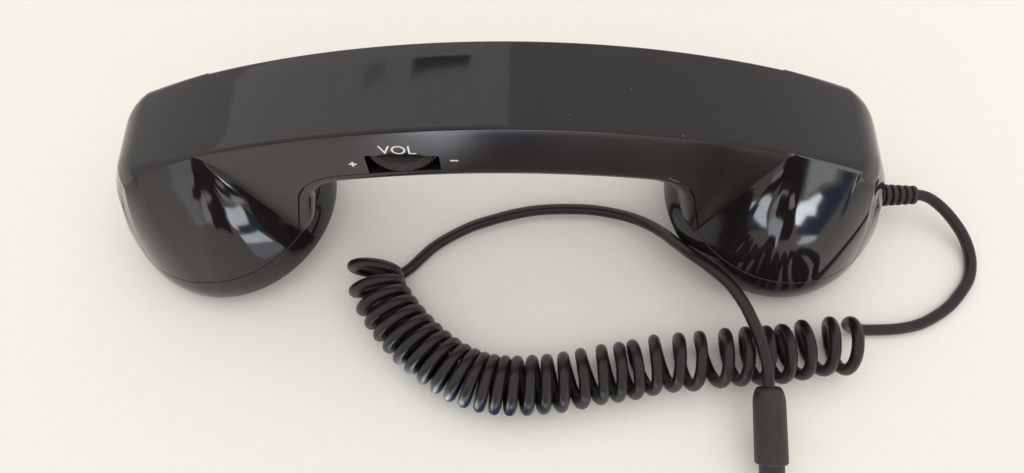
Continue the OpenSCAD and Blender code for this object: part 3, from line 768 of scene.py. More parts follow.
@dataclass
class Handle:
    """The handle's two halves, drawn as closed bands that run from cup to cup."""

    form: CasingForm
    arc_steps: int = 42
    neck_steps: int = 20
    seam_gap: float = 0.09
    lip_bevel: float = 0.16
    neck_foot_z: float = 24.5
    top_share: float = 0.9
    root_in: float = 20.8
    root_up: float = 10
    overlap: float = 2

    def stations(self) -> list[tuple[Points, Points, Points]]:
        """Returns the lower, seam and back points of each cross-section, from the middle outwards."""
        f = self.form
        made = []
        for i in range(self.arc_steps + 1):
            a = 90 - i * (90 - f.neck_top) / self.arc_steps
            seam = f.seam_centre + polar(f.seam_r, a)
            made.append((f.seam_centre + polar(f.seam_r - f.under_drop, a), seam, f.back_at(seam[0])))
        reach = made[-1][1][0]
        for i in range(1, self.neck_steps + 1):
            a = f.neck_top - i * (f.neck_top - f.neck_lean) / self.neck_steps
            top = reach + (self.top_share * f.ridge_x - reach) * i / self.neck_steps
            made.append((f.neck_centre + polar(f.neck_r - f.under_drop, a),
                         f.neck_centre + polar(f.neck_r, a), f.back_at(top)))
        foot = f.seam_wall(-f.under_drop, self.neck_foot_z)
        corner = f.seam_corner()
        lower, seam = made[-1][0], made[-1][1]
        for k in (1, 2, 3, 4):
            p = lower + (foot - lower) * k / 4
            q = seam + (corner - seam) * k / 5
            made.append((p, q, f.back_at((self.top_share + 0.02 * k) * f.ridge_x)))
        root = np.array([f.cup_x - self.root_in, f.cup_z + self.root_up])
        along = np.array([math.cos(math.radians(f.cup_tilt)), -math.sin(math.radians(f.cup_tilt))])
        made.append((root - [self.overlap, 0], corner, f.back_at(f.ridge_x)))
        made.append((root, corner + self.overlap * along, f.back_at(f.ridge_x + self.overlap, 3)))
        return made

    def _side(self, start: Points, end: Points, heights: Iterable[float], inset: float) -> list[Points]:
        """Returns points of the -Y side between two points of the XZ plane.

        Args:
            start: Where the heights are 0.
            end: The other point.
            heights: Distances from start.
            inset: How far inside the surface the points lie.

        Returns:
            The points, in order.
        """
        way = unit(end - start)
        made = []
        for t in heights:
            p = start + way * t
            made.append(np.array([p[0], -self.form.half_at(p, inset), p[1]]))
        return made

    def _section(self, seam: Points, end: Points, edge: float, rows_up: int, turns: int,
                 inner_share: tuple[float, ...] = ()) -> list[list[Points]]:
        """Returns half a closed section of a shell, from the seam to the middle of its far face.

        Args:
            seam: The section's point on the seam.
            end: Its point on the far face, the back or the underside.
            edge: The rounding between the side and that face.
            rows_up: Number of points up the side.
            turns: Number of points round the edge, its start included.
            inner_share: Shares of the side's height where the inner wall has more points.

        Returns:
            The outer points, then the inner points, as two lists of the same half.
        """
        f = self.form
        way, run = unit(end - seam), np.linalg.norm(end - seam)
        rows = self._side(seam, end, np.linspace(self.seam_gap + self.lip_bevel, run - edge, rows_up), 0)
        for turn in np.linspace(0, 90, turns)[1:]:
            a = math.radians(turn)
            p = seam + way * (run - edge * (1 - math.sin(a)))
            rows.append(np.array([p[0], -(f.half_at(p) - edge * (1 - math.cos(a))), p[1]]))
        width = -rows[-1][1]
        rows += [np.array([end[0], -width * s, end[1]]) for s in (0.66, 0.33, 0.0)]
        lip = self._side(seam, end, [self.seam_gap], self.lip_bevel)
        heights = [self.seam_gap, *(run * share for share in inner_share), run - f.wall]
        inner = self._side(seam, end, heights, f.wall)
        crown = end - way * f.wall
        inner += [np.array([crown[0], inner[-1][1] * 0.5, crown[1]]), np.array([crown[0], 0.0, crown[1]])]
        return [lip + rows, inner]

    def upper_section(self, seam: Points, top: Points) -> list[list[Points]]:
        """Returns half a closed section of the back shell."""
        return self._section(seam, top, self.form.ridge_round, 9, 7, (0.4,))

    def lower_section(self, low: Points, seam: Points) -> list[list[Points]]:
        """Returns half a closed section of the front shell."""
        return self._section(seam, low, self.form.under_round, 3, 9)

    @staticmethod
    def _loop(half: list[list[Points]]) -> Points:
        """Mirrors half a section to the other side.

        Args:
            half: The outer points and the inner points of the half.

        Returns:
            The points of the whole closed section.
        """
        outer, inner = (np.array(rows) for rows in half)
        flip = np.array([1, -1, 1])
        back = outer[:-1][::-1] * flip
        inner_back = inner * flip
        return np.concatenate([outer, back, inner_back, inner[:-1][::-1]])

    def band(self, upper: bool) -> Points:
        """Returns one half of the handle as a grid of closed sections.

        Args:
            upper: The back shell's half, or the front shell's.

        Returns:
            A grid with a row for each station.
        """
        loops = []
        for low, seam, top in self.stations():
            half = self.upper_section(seam, top) if upper else self.lower_section(low, seam)
            loops.append(self._loop(half))
        right = np.array(loops)
        left = right[1:][::-1] * np.array([-1, 1, 1])
        return np.concatenate([left, right])


@dataclass
class Ruling:
    """A straight line of a cup's skin, from its rim to the edge of the back, in the cup's frame."""

    foot: Points
    head: Points
    side_normal: Points
    top_normal: Points
    middle: Points
    edge_r: float
    bulge: float


@dataclass
class Cup:
    """A cup's skin: the straight lines between its round rim and the edge of the back."""

    form: CasingForm
    recess_r: float = 26
    recess_h: float = 2.9
    floor_t: float = 1.8
    round_steps: int = 300
    fillet_steps: int = 8
    seam_gap: float = 0.09
    lip_bevel: float = 0.16
    inner_scale: float = 0.93
    tuck: float = 0.5
    tuck_slope: float = 0.4
    tuck_in: float = 0.3
    crown_steps: int = 16
    nose_steps: int = 56
    rim_bevel: float = 0.25
    seat_drop: float = 2.5
    corner_edge_r: float = 3.6
    end_edge_r: float = 9.8
    end_edge_share: float = 0.45
    bulges: list[tuple[float, float]] = field(default_factory=lambda: [
        (180, 0), (215, 0.3), (245, 1.0), (270, 1.3), (315, 1.3), (345, 0.6), (360, 0)])

    def _edge_r(self, slope: float) -> float:
        """Gives the rounding of the back's edge, which grows from a crease to a soft shoulder.

        Args:
            slope: How steeply the back falls there, in degrees.

        Returns:
            The radius.
        """
        f = self.form
        full = f.nose_slope + self.end_edge_share * (f.end_slope - f.nose_slope)
        stops = [f.ridge_slope, f.nose_slope, full]
        return float(np.interp(slope, stops, [f.ridge_round, self.corner_edge_r, self.end_edge_r]))

    def _bulge(self, angle: float) -> float:
        """Returns how far the skin bows out half way up, at an angle round the rim."""
        return float(np.interp(math.degrees(angle), *np.array(self.bulges).T))

    def crown(self) -> tuple[Points, Points, Points, list[float]]:
        """Returns the edge of the back over the cup, its normals, the middle line and the rounding."""
        f = self.form
        start = f.back_centre + (f.back_r - self.tuck) * f.normal(f.ridge_slope - self.tuck_slope)
        rows = [(f.ridge_slope, start, f.half_w - self.tuck_in, f.ridge_round)]
        for slope in np.linspace(f.ridge_slope, f.nose_slope, self.crown_steps):
            rows.append((slope, f.back_centre + f.back_r * f.normal(slope), f.half_w, self._edge_r(slope)))
        for slope in np.linspace(f.nose_slope, f.end_slope, self.nose_steps)[1:]:
            half = f.half_w * f.nose_width(slope)
            rows.append((slope, f.nose_at(slope), half, self._edge_r(slope)))
        heads = np.array([[p[0], -half, p[1]] for _, p, half, _ in rows])
        tops = np.array([[f.normal(slope)[0], 0.0, f.normal(slope)[1]] for slope, *_ in rows])
        middles = heads * np.array([1, 0, 1])
        return f.to_cup(heads), self._turn(tops), f.to_cup(middles), [row[3] for row in rows]

    def _turn(self, directions: Points) -> Points:
        """Takes directions of the handset's frame to the cup's frame."""
        origin = self.form.to_cup(np.zeros(3))
        return self.form.to_cup(directions) - origin

    def rulings(self) -> list[Ruling]:
        """Returns the straight lines of the -Y half of the skin, from the inner end to the outer end.

        Each point of the rim goes with the point of the crown that the plane along the rim's
        tangent touches first.
        """
        f = self.form
        heads, tops, middles, edges = self.crown()
        made: list[Ruling] = []

        def rim(angle: float) -> tuple[Points, Points, Points]:
            """Returns a point of the rim, the way out of it and the way round it."""
            out = np.array([math.cos(angle), math.sin(angle), 0.0])
            tangent = np.array([-out[1], out[0], 0.0])
            return out * f.rim_r + [0, 0, f.skirt_h], out, tangent

        def add(angle: float, k: int, share: float = 1.0) -> None:
            """Adds the line from the rim at an angle to point k of the crown.

            Args:
                angle: The angle round the rim.
                k: The crown point's number.
                share: How far out from the middle line the head lies.
            """
            foot, out, tangent = rim(angle)
            head = middles[k] + (heads[k] - middles[k]) * share
            side = unit(np.cross(tangent, head - foot))
            side = side if side @ out > 0 else -side
            made.append(Ruling(foot, head, side, tops[k], middles[k], edges[k], self._bulge(angle)))

        for share in (0.0, 0.5):
            add(math.pi, 0, share)
        last, last_angle = 0, math.pi
        for angle in np.linspace(math.pi, 2 * math.pi, self.round_steps):
            foot, out, _ = rim(angle)
            lean = (heads - foot) @ out / (heads[:, 2] - foot[2])
            best = max(int(np.argmax(lean)), last)
            for k in range(last + 1, best):
                part = last_angle + (angle - last_angle) * (k - last) / (best - last)
                add(part, k)
            add(angle, best)
            last, last_angle = best, angle
        for k in range(last + 1, len(heads)):
            add(2 * math.pi, k)
        for share in (0.5, 0.0):
            add(2 * math.pi, -1, share)
        return made

    def _fillet(self, line: Ruling) -> list[Points]:
        """Rounds the edge between a ruling and the back.

        Args:
            line: The ruling.

        Returns:
            The points of the rounding, from the side to the top.
        """
        n, t = line.side_normal, line.top_normal
        turn = math.acos(min(1.0, max(-1.0, float(n @ t))))
        run = line.head - line.foot
        room = np.linalg.norm(run) * (line.head[2] - self.form.cup_seam_h - 0.8) / run[2]
        e = min(line.edge_r, max(0.05, float(room) / max(math.tan(turn / 2), 1e-3)))
        centre = line.head - e * (n + t) / (1 + n @ t)
        made = []
        for k in range(self.fillet_steps + 1):
            s = k / self.fillet_steps
            if turn < 1e-3:
                way = n
            else:
                way = (math.sin((1 - s) * turn) * n + math.sin(s * turn) * t) / math.sin(turn)
            made.append(centre + e * way)
        return made

    def _along(self, line: Ruling, share: float) -> Points:
        """Returns the point of the bowed skin that lies that share of the way up a ruling."""
        top = self._fillet(line)[0]
        return line.foot + (top - line.foot) * share + 4 * share * (1 - share) * line.bulge * line.side_normal

    def _at_height(self, line: Ruling, h: float) -> Points:
        """Returns the point of the skin over a ruling at about that height over the cup's face."""
        top = self._fillet(line)[0]
        return self._along(line, (h - line.foot[2]) / (top[2] - line.foot[2]))

    def _inward(self, p: Points, distance: float) -> Points:
        """Returns a point moved towards the cup's axis at the same height."""
        r = math.hypot(p[0], p[1])
        return np.array([p[0] * (1 - distance / r), p[1] * (1 - distance / r), p[2]])

    def _whole(self, half: list[Points]) -> Points:
        """Returns the full ring of columns from its -Y half, as rows of the grid."""
        right = np.array(half)
        left = right[1:-1][::-1] * np.array([1, -1, 1])
        return np.concatenate([right, left]).transpose(1, 0, 2)

    def cap(self) -> Points:
        """Returns the back shell's part of the cup, as a closed grid in the cup's frame."""
        h = self.form.cup_seam_h + self.seam_gap
        hub = np.array([0.0, 0.0, h])
        columns = []
        for line in self.rulings():
            foot = self._at_height(line, h)
            fillet = self._fillet(line)
            low = (h + self.lip_bevel - line.foot[2]) / (fillet[0][2] - line.foot[2])
            rows = [self._inward(foot, self.lip_bevel)]
            rows += [self._along(line, low + (1 - low) * s) for s in np.linspace(0, 1, 13)[:-1]]
            rows += fillet
            rows += [fillet[-1] + (line.middle - fillet[-1]) * s for s in (0.33, 0.66, 1.0)]
            inner = [hub + (p - hub) * self.inner_scale for p in (rows[-1], rows[-4], rows[6], rows[1])]
            inner.append(hub + (foot - hub) * self.inner_scale)
            columns.append(np.array(rows + inner))
        return self._whole(columns)

    def ring(self, port_r: float) -> Points:
        """Returns the front shell's part of the cup, as a closed grid in the cup's frame.

        Args:
            port_r: Radius of the opening in the cup's floor.

        Returns:
            A grid whose rows run round the cup.
        """
        f = self.form
        h = f.cup_seam_h - self.seam_gap
        floor = self.recess_h + self.floor_t
        profile = [(self.recess_r, self.rim_bevel), (self.recess_r + self.rim_bevel, 0.0)]
        for turn in np.linspace(-90, 0, 8):
            profile.append(tuple(np.array([f.rim_r - f.rim_round, f.rim_round]) + polar(f.rim_round, turn)))
        inside = [(f.rim_r - f.wall, h - self.seat_drop), (f.rim_r - f.wall, floor), (port_r, floor),
                  (port_r, self.recess_h), (self.recess_r, self.recess_h)]
        columns = []
        for line in self.rulings():
            out = unit(line.foot * np.array([1, 1, 0]))
            rows = [out * r + [0, 0, z] for r, z in profile]
            top = self._at_height(line, h)
            rows += [line.foot, self._at_height(line, (line.foot[2] + h) / 2)]
            rows += [self._at_height(line, h - self.lip_bevel), self._inward(top, self.lip_bevel)]
            rows.append(self._inward(top, f.wall))
            rows += [out * r + [0, 0, z] for r, z in inside]
            columns.append(np.array(rows))
        return self._whole(columns)


@dataclass
class Casing:
    """The two gloss shells, with the window for the wheel and the hole for the button."""

    form: CasingForm
    wheel_x: float = 21.3
    window_l: float = 17.8
    window_top: float = 57.2
    window_corner: float = 0.7
    button_x: float = 10
    button_hole_r: float = 4.8
    hole_bevel: float = 0.3
    hole_edge_z: float = 47.42
    side_share: float = 0.9
    port_r: dict[Side, float] = field(default_factory=lambda: {Side.EAR: 14.5, Side.MOUTH: 2.4})

    def _wheel_window(self) -> bpy.types.Object:
        """Returns a block with rounded corners where the wheel's window goes."""
        f = self.form
        x0, x1 = -self.wheel_x - self.window_l / 2, -self.wheel_x + self.window_l / 2
        z0, z1, r = f.seam_mid_h - f.wall, self.window_top, self.window_corner
        outline = [(x0, z0), (x1, z0)]
        for corner, start in (((x1 - r, z1 - r), 0), ((x0 + r, z1 - r), 90)):
            outline += [tuple(np.array(corner) + polar(r, start + t)) for t in np.linspace(0, 90, 6)]
        rows = [[[x, y, z] for x, z in outline] for y in (-f.half_w - 12, -f.half_w + f.wall + 1.5)]
        parts = MeshParts()
        parts.add_grid(np.array(rows), close_cols=True, ends=True)
        return parts.piece("window_cutter")

    def _button_hole(self) -> bpy.types.Object:
        """Returns a round form where the call button goes, wider below by the hole's bevel."""
        r, bevel, z = self.button_hole_r, self.hole_bevel, self.hole_edge_z
        profile = [(r + bevel, 44.0), (r + bevel, z), (r, z + bevel), (r, 51.0)]
        return turned("button_cutter", profile, 96, lambda p: p + [self.button_x, 0, 0], ends=True)

    def build(self, paint: Paint) -> None:
        """Builds both shells and dresses them.

        Args:
            paint: The finishes.
        """
        handle, cup = Handle(self.form), Cup(self.form)
        cap = cup.cap()
        for upper in (True, False):
            body = MeshParts()
            body.add_grid(handle.band(upper), close_cols=True, ends=True)
            name = "back_shell_gloss" if upper else "front_shell_gloss"
            shell = body.piece(name)
            carve(shell, self._wheel_window() if upper else self._button_hole())
            paint.dress(shell, GLOSS_BLACK)
            # Faces that look sideways get the side finish, whose base colour is painted lighter to stand in for
            # the light that the sides reflect.
            shell.data.materials.append(paint.material(SIDE_BLACK_PAINTED_LIGHTER))
            for face in shell.data.polygons:
                face.material_index = int(abs(face.normal.y) > self.side_share)
            ends = MeshParts()
            for side in Side:
                grid = cap if upper else cup.ring(self.port_r[side])
                ends.add_grid(self.form.from_cup(grid, side), close_cols=True, close_rows=not upper)
            join_into(shell, ends.piece(name + "_cups"))
            enter(shell, Body.HANDSET, "casing", "back_shell" if upper else "front_shell")


def join_into(piece: bpy.types.Object, other: bpy.types.Object) -> None:
    """Adds another piece's mesh to a piece and deletes that other piece.

    Args:
        piece: The piece that grows.
        other: The piece that goes into it.
    """
    with edited(piece.data) as form:
        form.from_mesh(other.data)
    bpy.data.objects.remove(other)


class RidgeTree:
    """A Geometry Nodes tree that sets one ridge many times round an axis."""

    def __init__(self, name: str) -> None:
        """Builds the tree.

        Args:
            name: The tree's name.
        """
        tree = bpy.data.node_groups.new(name, "GeometryNodeTree")
        kinds = {"Geometry": "Geometry", "Count": "Int", "Radius": "Float", "Width": "Float",
                 "Height": "Float", "Material": "Material"}
        for label, kind in kinds.items():
            tree.interface.new_socket(label, in_out="INPUT", socket_type="NodeSocket" + kind)
        tree.interface.new_socket("Geometry", in_out="OUTPUT", socket_type="NodeSocketGeometry")
        self.tree = tree
        w = Wiring(tree)
        given = w.node("NodeGroupInput").outputs
        circle = w.node("GeometryNodeMeshCircle", {"Vertices": given["Count"], "Radius": given["Radius"]},
                        fill_type="NONE")
        ridge = w.node("GeometryNodeMeshCylinder", {
            "Vertices": 8, "Radius": given["Width"], "Depth": given["Height"]}, fill_type="NGON")
        spread = w.node("GeometryNodeInstanceOnPoints", {
            "Points": circle.outputs["Mesh"], "Instance": ridge.outputs["Mesh"]})
        real = w.node("GeometryNodeRealizeInstances", {"Geometry": spread.outputs["Instances"]})
        joined = w.node("GeometryNodeJoinGeometry", {"Geometry": real.outputs["Geometry"]})
        w.feed(given["Geometry"], joined.inputs["Geometry"])
        dressed = w.node("GeometryNodeSetMaterial", {
            "Geometry": joined.outputs["Geometry"], "Material": given["Material"]})
        w.node("NodeGroupOutput", {"Geometry": dressed.outputs["Geometry"]})

    def apply(self, piece: bpy.types.Object, **values: object) -> bpy.types.Object:
        """Runs the tree on a piece and keeps the result as its mesh.

        Args:
            piece: The piece.
            values: The tree's named inputs.

        Returns:
            The piece.
        """
        modifier = piece.modifiers.new("ridges", "NODES")
        modifier.node_group = self.tree
        for item in self.tree.interface.items_tree:
            if item.in_out == "INPUT" and item.name in values:
                modifier[item.identifier] = values[item.name]
        return baked(piece)


def shifted(piece: bpy.types.Object, matrix: Matrix, sharp: float) -> None:
    """Moves a piece's mesh, and leaves its object at the origin.

    Args:
        piece: The piece.
        matrix: Where the mesh goes.
        sharp: Edges that turn by more than this, in degrees, stay crisp.
    """
    with edited(piece.data) as form:
        bmesh.ops.transform(form, matrix=matrix, verts=form.verts)
        bmesh.ops.recalc_face_normals(form, faces=form.faces)
        soften(form, sharp)


@dataclass
class VolumeControl:
    """The thumbwheel in the handle's side, and the white signs beside it."""

    form: CasingForm
    wheel_x: float = 21.3
    wheel_r: float = 10.5
    wheel_t: float = 3
    wheel_proud: float = 2.1
    wheel_lift: float = 2.1
    ridges: int = 76
    ridge_w: float = 0.24
    shaft_r: float = 1.5
    shaft_end: float = 1
    wheel_bevel: float = 0.3
    wheel_crease: float = 30
    print_lift: float = 0.03
    print_sink: float = -0.05
    word_x: float = -22.0
    word_z: float = 59.6
    word_w: float = 8.8
    plus_x: float = -33.5
    plus_z: float = 53.6
    minus_x: float = -9.0
    minus_z: float = 55.3
    sign_w: float = 1.9
    stroke: float = 0.5

    def wheel(self, paint: Paint) -> bpy.types.Object:
        """Builds the ridged wheel with its shaft's end.

        Args:
            paint: The finishes.

        Returns:
            The wheel.
        """
        z0 = self.form.seam_mid_h + self.wheel_lift
        y = self.wheel_r - self.form.half_at(np.array([-self.wheel_x, z0])) - self.wheel_proud
        core, half, bevel = self.wheel_r - self.ridge_w, self.wheel_t / 2, self.wheel_bevel
        profile = [(0.0, -half), (core - bevel, -half), (core, -half + bevel), (core, half - bevel),
                   (core - bevel, half), (self.shaft_r, half), (self.shaft_r, half + self.shaft_end),
                   (0.0, half + self.shaft_end)]
        wheel = turned("volume_wheel_ridged", profile, 176, lambda p: p)
        RidgeTree("wheel_ridges").apply(
            wheel, Count=self.ridges, Radius=core * MM, Width=self.ridge_w * MM,
            Height=(self.wheel_t - 0.5) * MM, Material=paint.material(WHEEL_BLACK))
        place = Matrix.Translation(Vector((-self.wheel_x, y, z0 + half)) * MM)
        shifted(wheel, place, self.wheel_crease)
        return enter(wheel, Body.WHEEL, "knob", "volume_wheel")

    def _on_side(self, p: Points) -> Points:
        """Takes points drawn flat, with X and height, onto the handle's near side."""
        y = [-self.form.half_at(np.array([q[0], q[1]])) - q[2] for q in p]
        return np.column_stack([p[:, 0], y, p[:, 1]])

    def _print(self, name: str, mesh: bpy.types.Mesh, scale: float,
               centre: tuple[float, float]) -> bpy.types.Object:
        """Lays a flat mesh on the handle's side as print.

        Args:
            name: The piece's name.
            mesh: The mesh, drawn in its own XY plane.
            scale: Its factor.
            centre: Where its middle goes, as X and height.

        Returns:
            The print.
        """
        co = np.array([v.co for v in mesh.vertices], float)
        mid = (co.min(0) + co.max(0)) / 2
        flat = (co - mid) * scale
        lift = np.where(co[:, 2] > mid[2], self.print_lift, self.print_sink)
        drawn = np.column_stack([flat[:, 0] + centre[0], flat[:, 1] + centre[1], lift])
        return mesh_piece(name, self._on_side(drawn), [list(p.vertices) for p in mesh.polygons])

    def word(self) -> bpy.types.Object:
        """Returns the word for volume over the window."""
        curve = bpy.data.curves.new("volume_word", "FONT")
        curve.body = "VOL"
        curve.extrude = 0.02
        curve.resolution_u = 8
        text = linked("volume_word_text", curve)
        bpy.context.view_layer.update()
        mesh = bpy.data.meshes.new_from_object(text.evaluated_get(bpy.context.evaluated_depsgraph_get()))
        xs = [v.co.x for v in mesh.vertices]
        scale = self.word_w / (max(xs) - min(xs))
        made = self._print("print_volume_word", mesh, scale, (self.word_x, self.word_z))
        bpy.data.objects.remove(text)
        return made

    def sign(self, name: str, centre: tuple[float, float], upright: bool) -> bpy.types.Object:
        """Builds a plus or a minus.

        Args:
            name: The piece's name.
            centre: Its middle, as X and height.
            upright: It has the upright stroke of a plus.

        Returns:
            The sign.
        """
        a, b = self.sign_w / 2, self.stroke / 2
        outline = [(-a, -b), (a, -b), (a, b), (-a, b)]
        if upright:
            outline = [(-a, -b), (-b, -b), (-b, -a), (b, -a), (b, -b), (a, -b),
                       (a, b), (b, b), (b, a), (-b, a), (-b, b), (-a, b)]
        rows = [[[x + centre[0], z + centre[1], lift] for x, z in outline]
                for lift in (self.print_sink, self.print_lift)]
        n = len(outline)
        points = self._on_side(np.array(rows).reshape(-1, 3))
        faces = grid_faces(2, n, False, True) + [list(range(n)), list(range(n, 2 * n))]
        return mesh_piece(name, points, faces)

    def build(self, paint: Paint) -> None:
        """Builds the wheel and its signs.

        Args:
            paint: The finishes.
        """
        prints = [self.word(), self.sign("print_plus", (self.plus_x, self.plus_z), True),
                  self.sign("print_minus", (self.minus_x, self.minus_z), False)]
        for piece in prints:
            paint.dress(piece, PRINT_WHITE)
            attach(piece, Body.HANDSET.value)
        self.wheel(paint)


@dataclass
class CallButton:
    """The round button in the handle's underside."""

    x: float = 10
    button_d: float = 9
    edge_r: float = 0.7
    flange_r: float = 5.8
    flange_t: float = 1.0

    def build(self, paint: Paint) -> None:
        """Builds the button with a dished face and a soft edge.

        Args:
            paint: The finishes.
        """
        low, high = (v.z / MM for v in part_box("call_button"))
        r, e = self.button_d / 2, self.edge_r
        flange = high - self.flange_t
        profile = [(0.0, low + 0.22), (r * 0.4, low + 0.19), (r * 0.7, low + 0.08), (r - e, low)]
        profile += [tuple(np.array([r - e, low + e]) + polar(e, t)) for t in np.linspace(-75, 0, 6)]
        profile += [(r, flange), (self.flange_r, flange), (self.flange_r, high), (0.0, high)]
        button = turned("call_button_dished", profile, 96, lambda p: p + [self.x, 0, 0])
        enter(paint.dress(button, BUTTON_BLACK), Body.BUTTON, "knob", "call_button")


@dataclass
class Plug:
    """The moulded plug with its collar."""

    rear: tuple[float, float, float] = (70.8, -57.6, 14.3)
    tilt: float = 20
    yaw: float = 1.2
    plug_d: float = 8.6
    plug_l: float = 19.6
    collar_d: float = 6.5
    collar_l: float = 3.4
    rear_r: float = 2.5
    dome_l: float = 4.5
    edge: float = 0.3

    def way(self) -> Points:
        """Returns the direction that the plug points in."""
        tilt, yaw = math.radians(self.tilt), math.radians(self.yaw)
        return np.array([math.sin(yaw) * math.cos(tilt), -math.cos(yaw) * math.cos(tilt), -math.sin(tilt)])

    def _place(self, p: Points) -> Points:
        """Lays the plug's own axis along the direction that it points in."""
        lean = Matrix.Rotation(math.radians(90 + self.tilt), 3, "X")
        turn = Matrix.Rotation(math.radians(self.yaw), 3, "Z") @ lean
        return p @ np.array(turn).T + np.array(self.rear)

    def build(self, paint: Paint) -> list[bpy.types.Object]:
        """Builds the plug's body and its collar.

        Args:
            paint: The finishes.

        Returns:
            The body and the collar.
        """
        r, c, end = self.plug_d / 2, self.collar_d / 2, self.plug_l + self.collar_l
        body = [(0.0, 0.0), (self.rear_r - 0.4, 0.0), (self.rear_r, 0.15)]
        for turn in np.linspace(8, 90, 12):
            a = math.radians(turn)
            swell = (r - 0.1 - self.rear_r) * math.sin(a)
            body.append((self.rear_r + swell, self.dome_l * (1 - math.cos(a))))
        body += [(r - 0.02, self.plug_l * 0.75), (r, self.plug_l - 0.35), (r - self.edge, self.plug_l),
                 (0.0, self.plug_l)]
        collar = [(0.0, self.plug_l), (c, self.plug_l), (c, end - self.edge), (c - self.edge, end),
                  (0.0, end)]
        made = []
        for node, outline in (("plug_body", body), ("plug_collar", collar)):
            piece = paint.dress(turned(node + "_moulded", outline, 80, self._place), RUBBER_BLACK)
            made.append(enter(piece, Body.HANDSET, "cord", node))
        return made


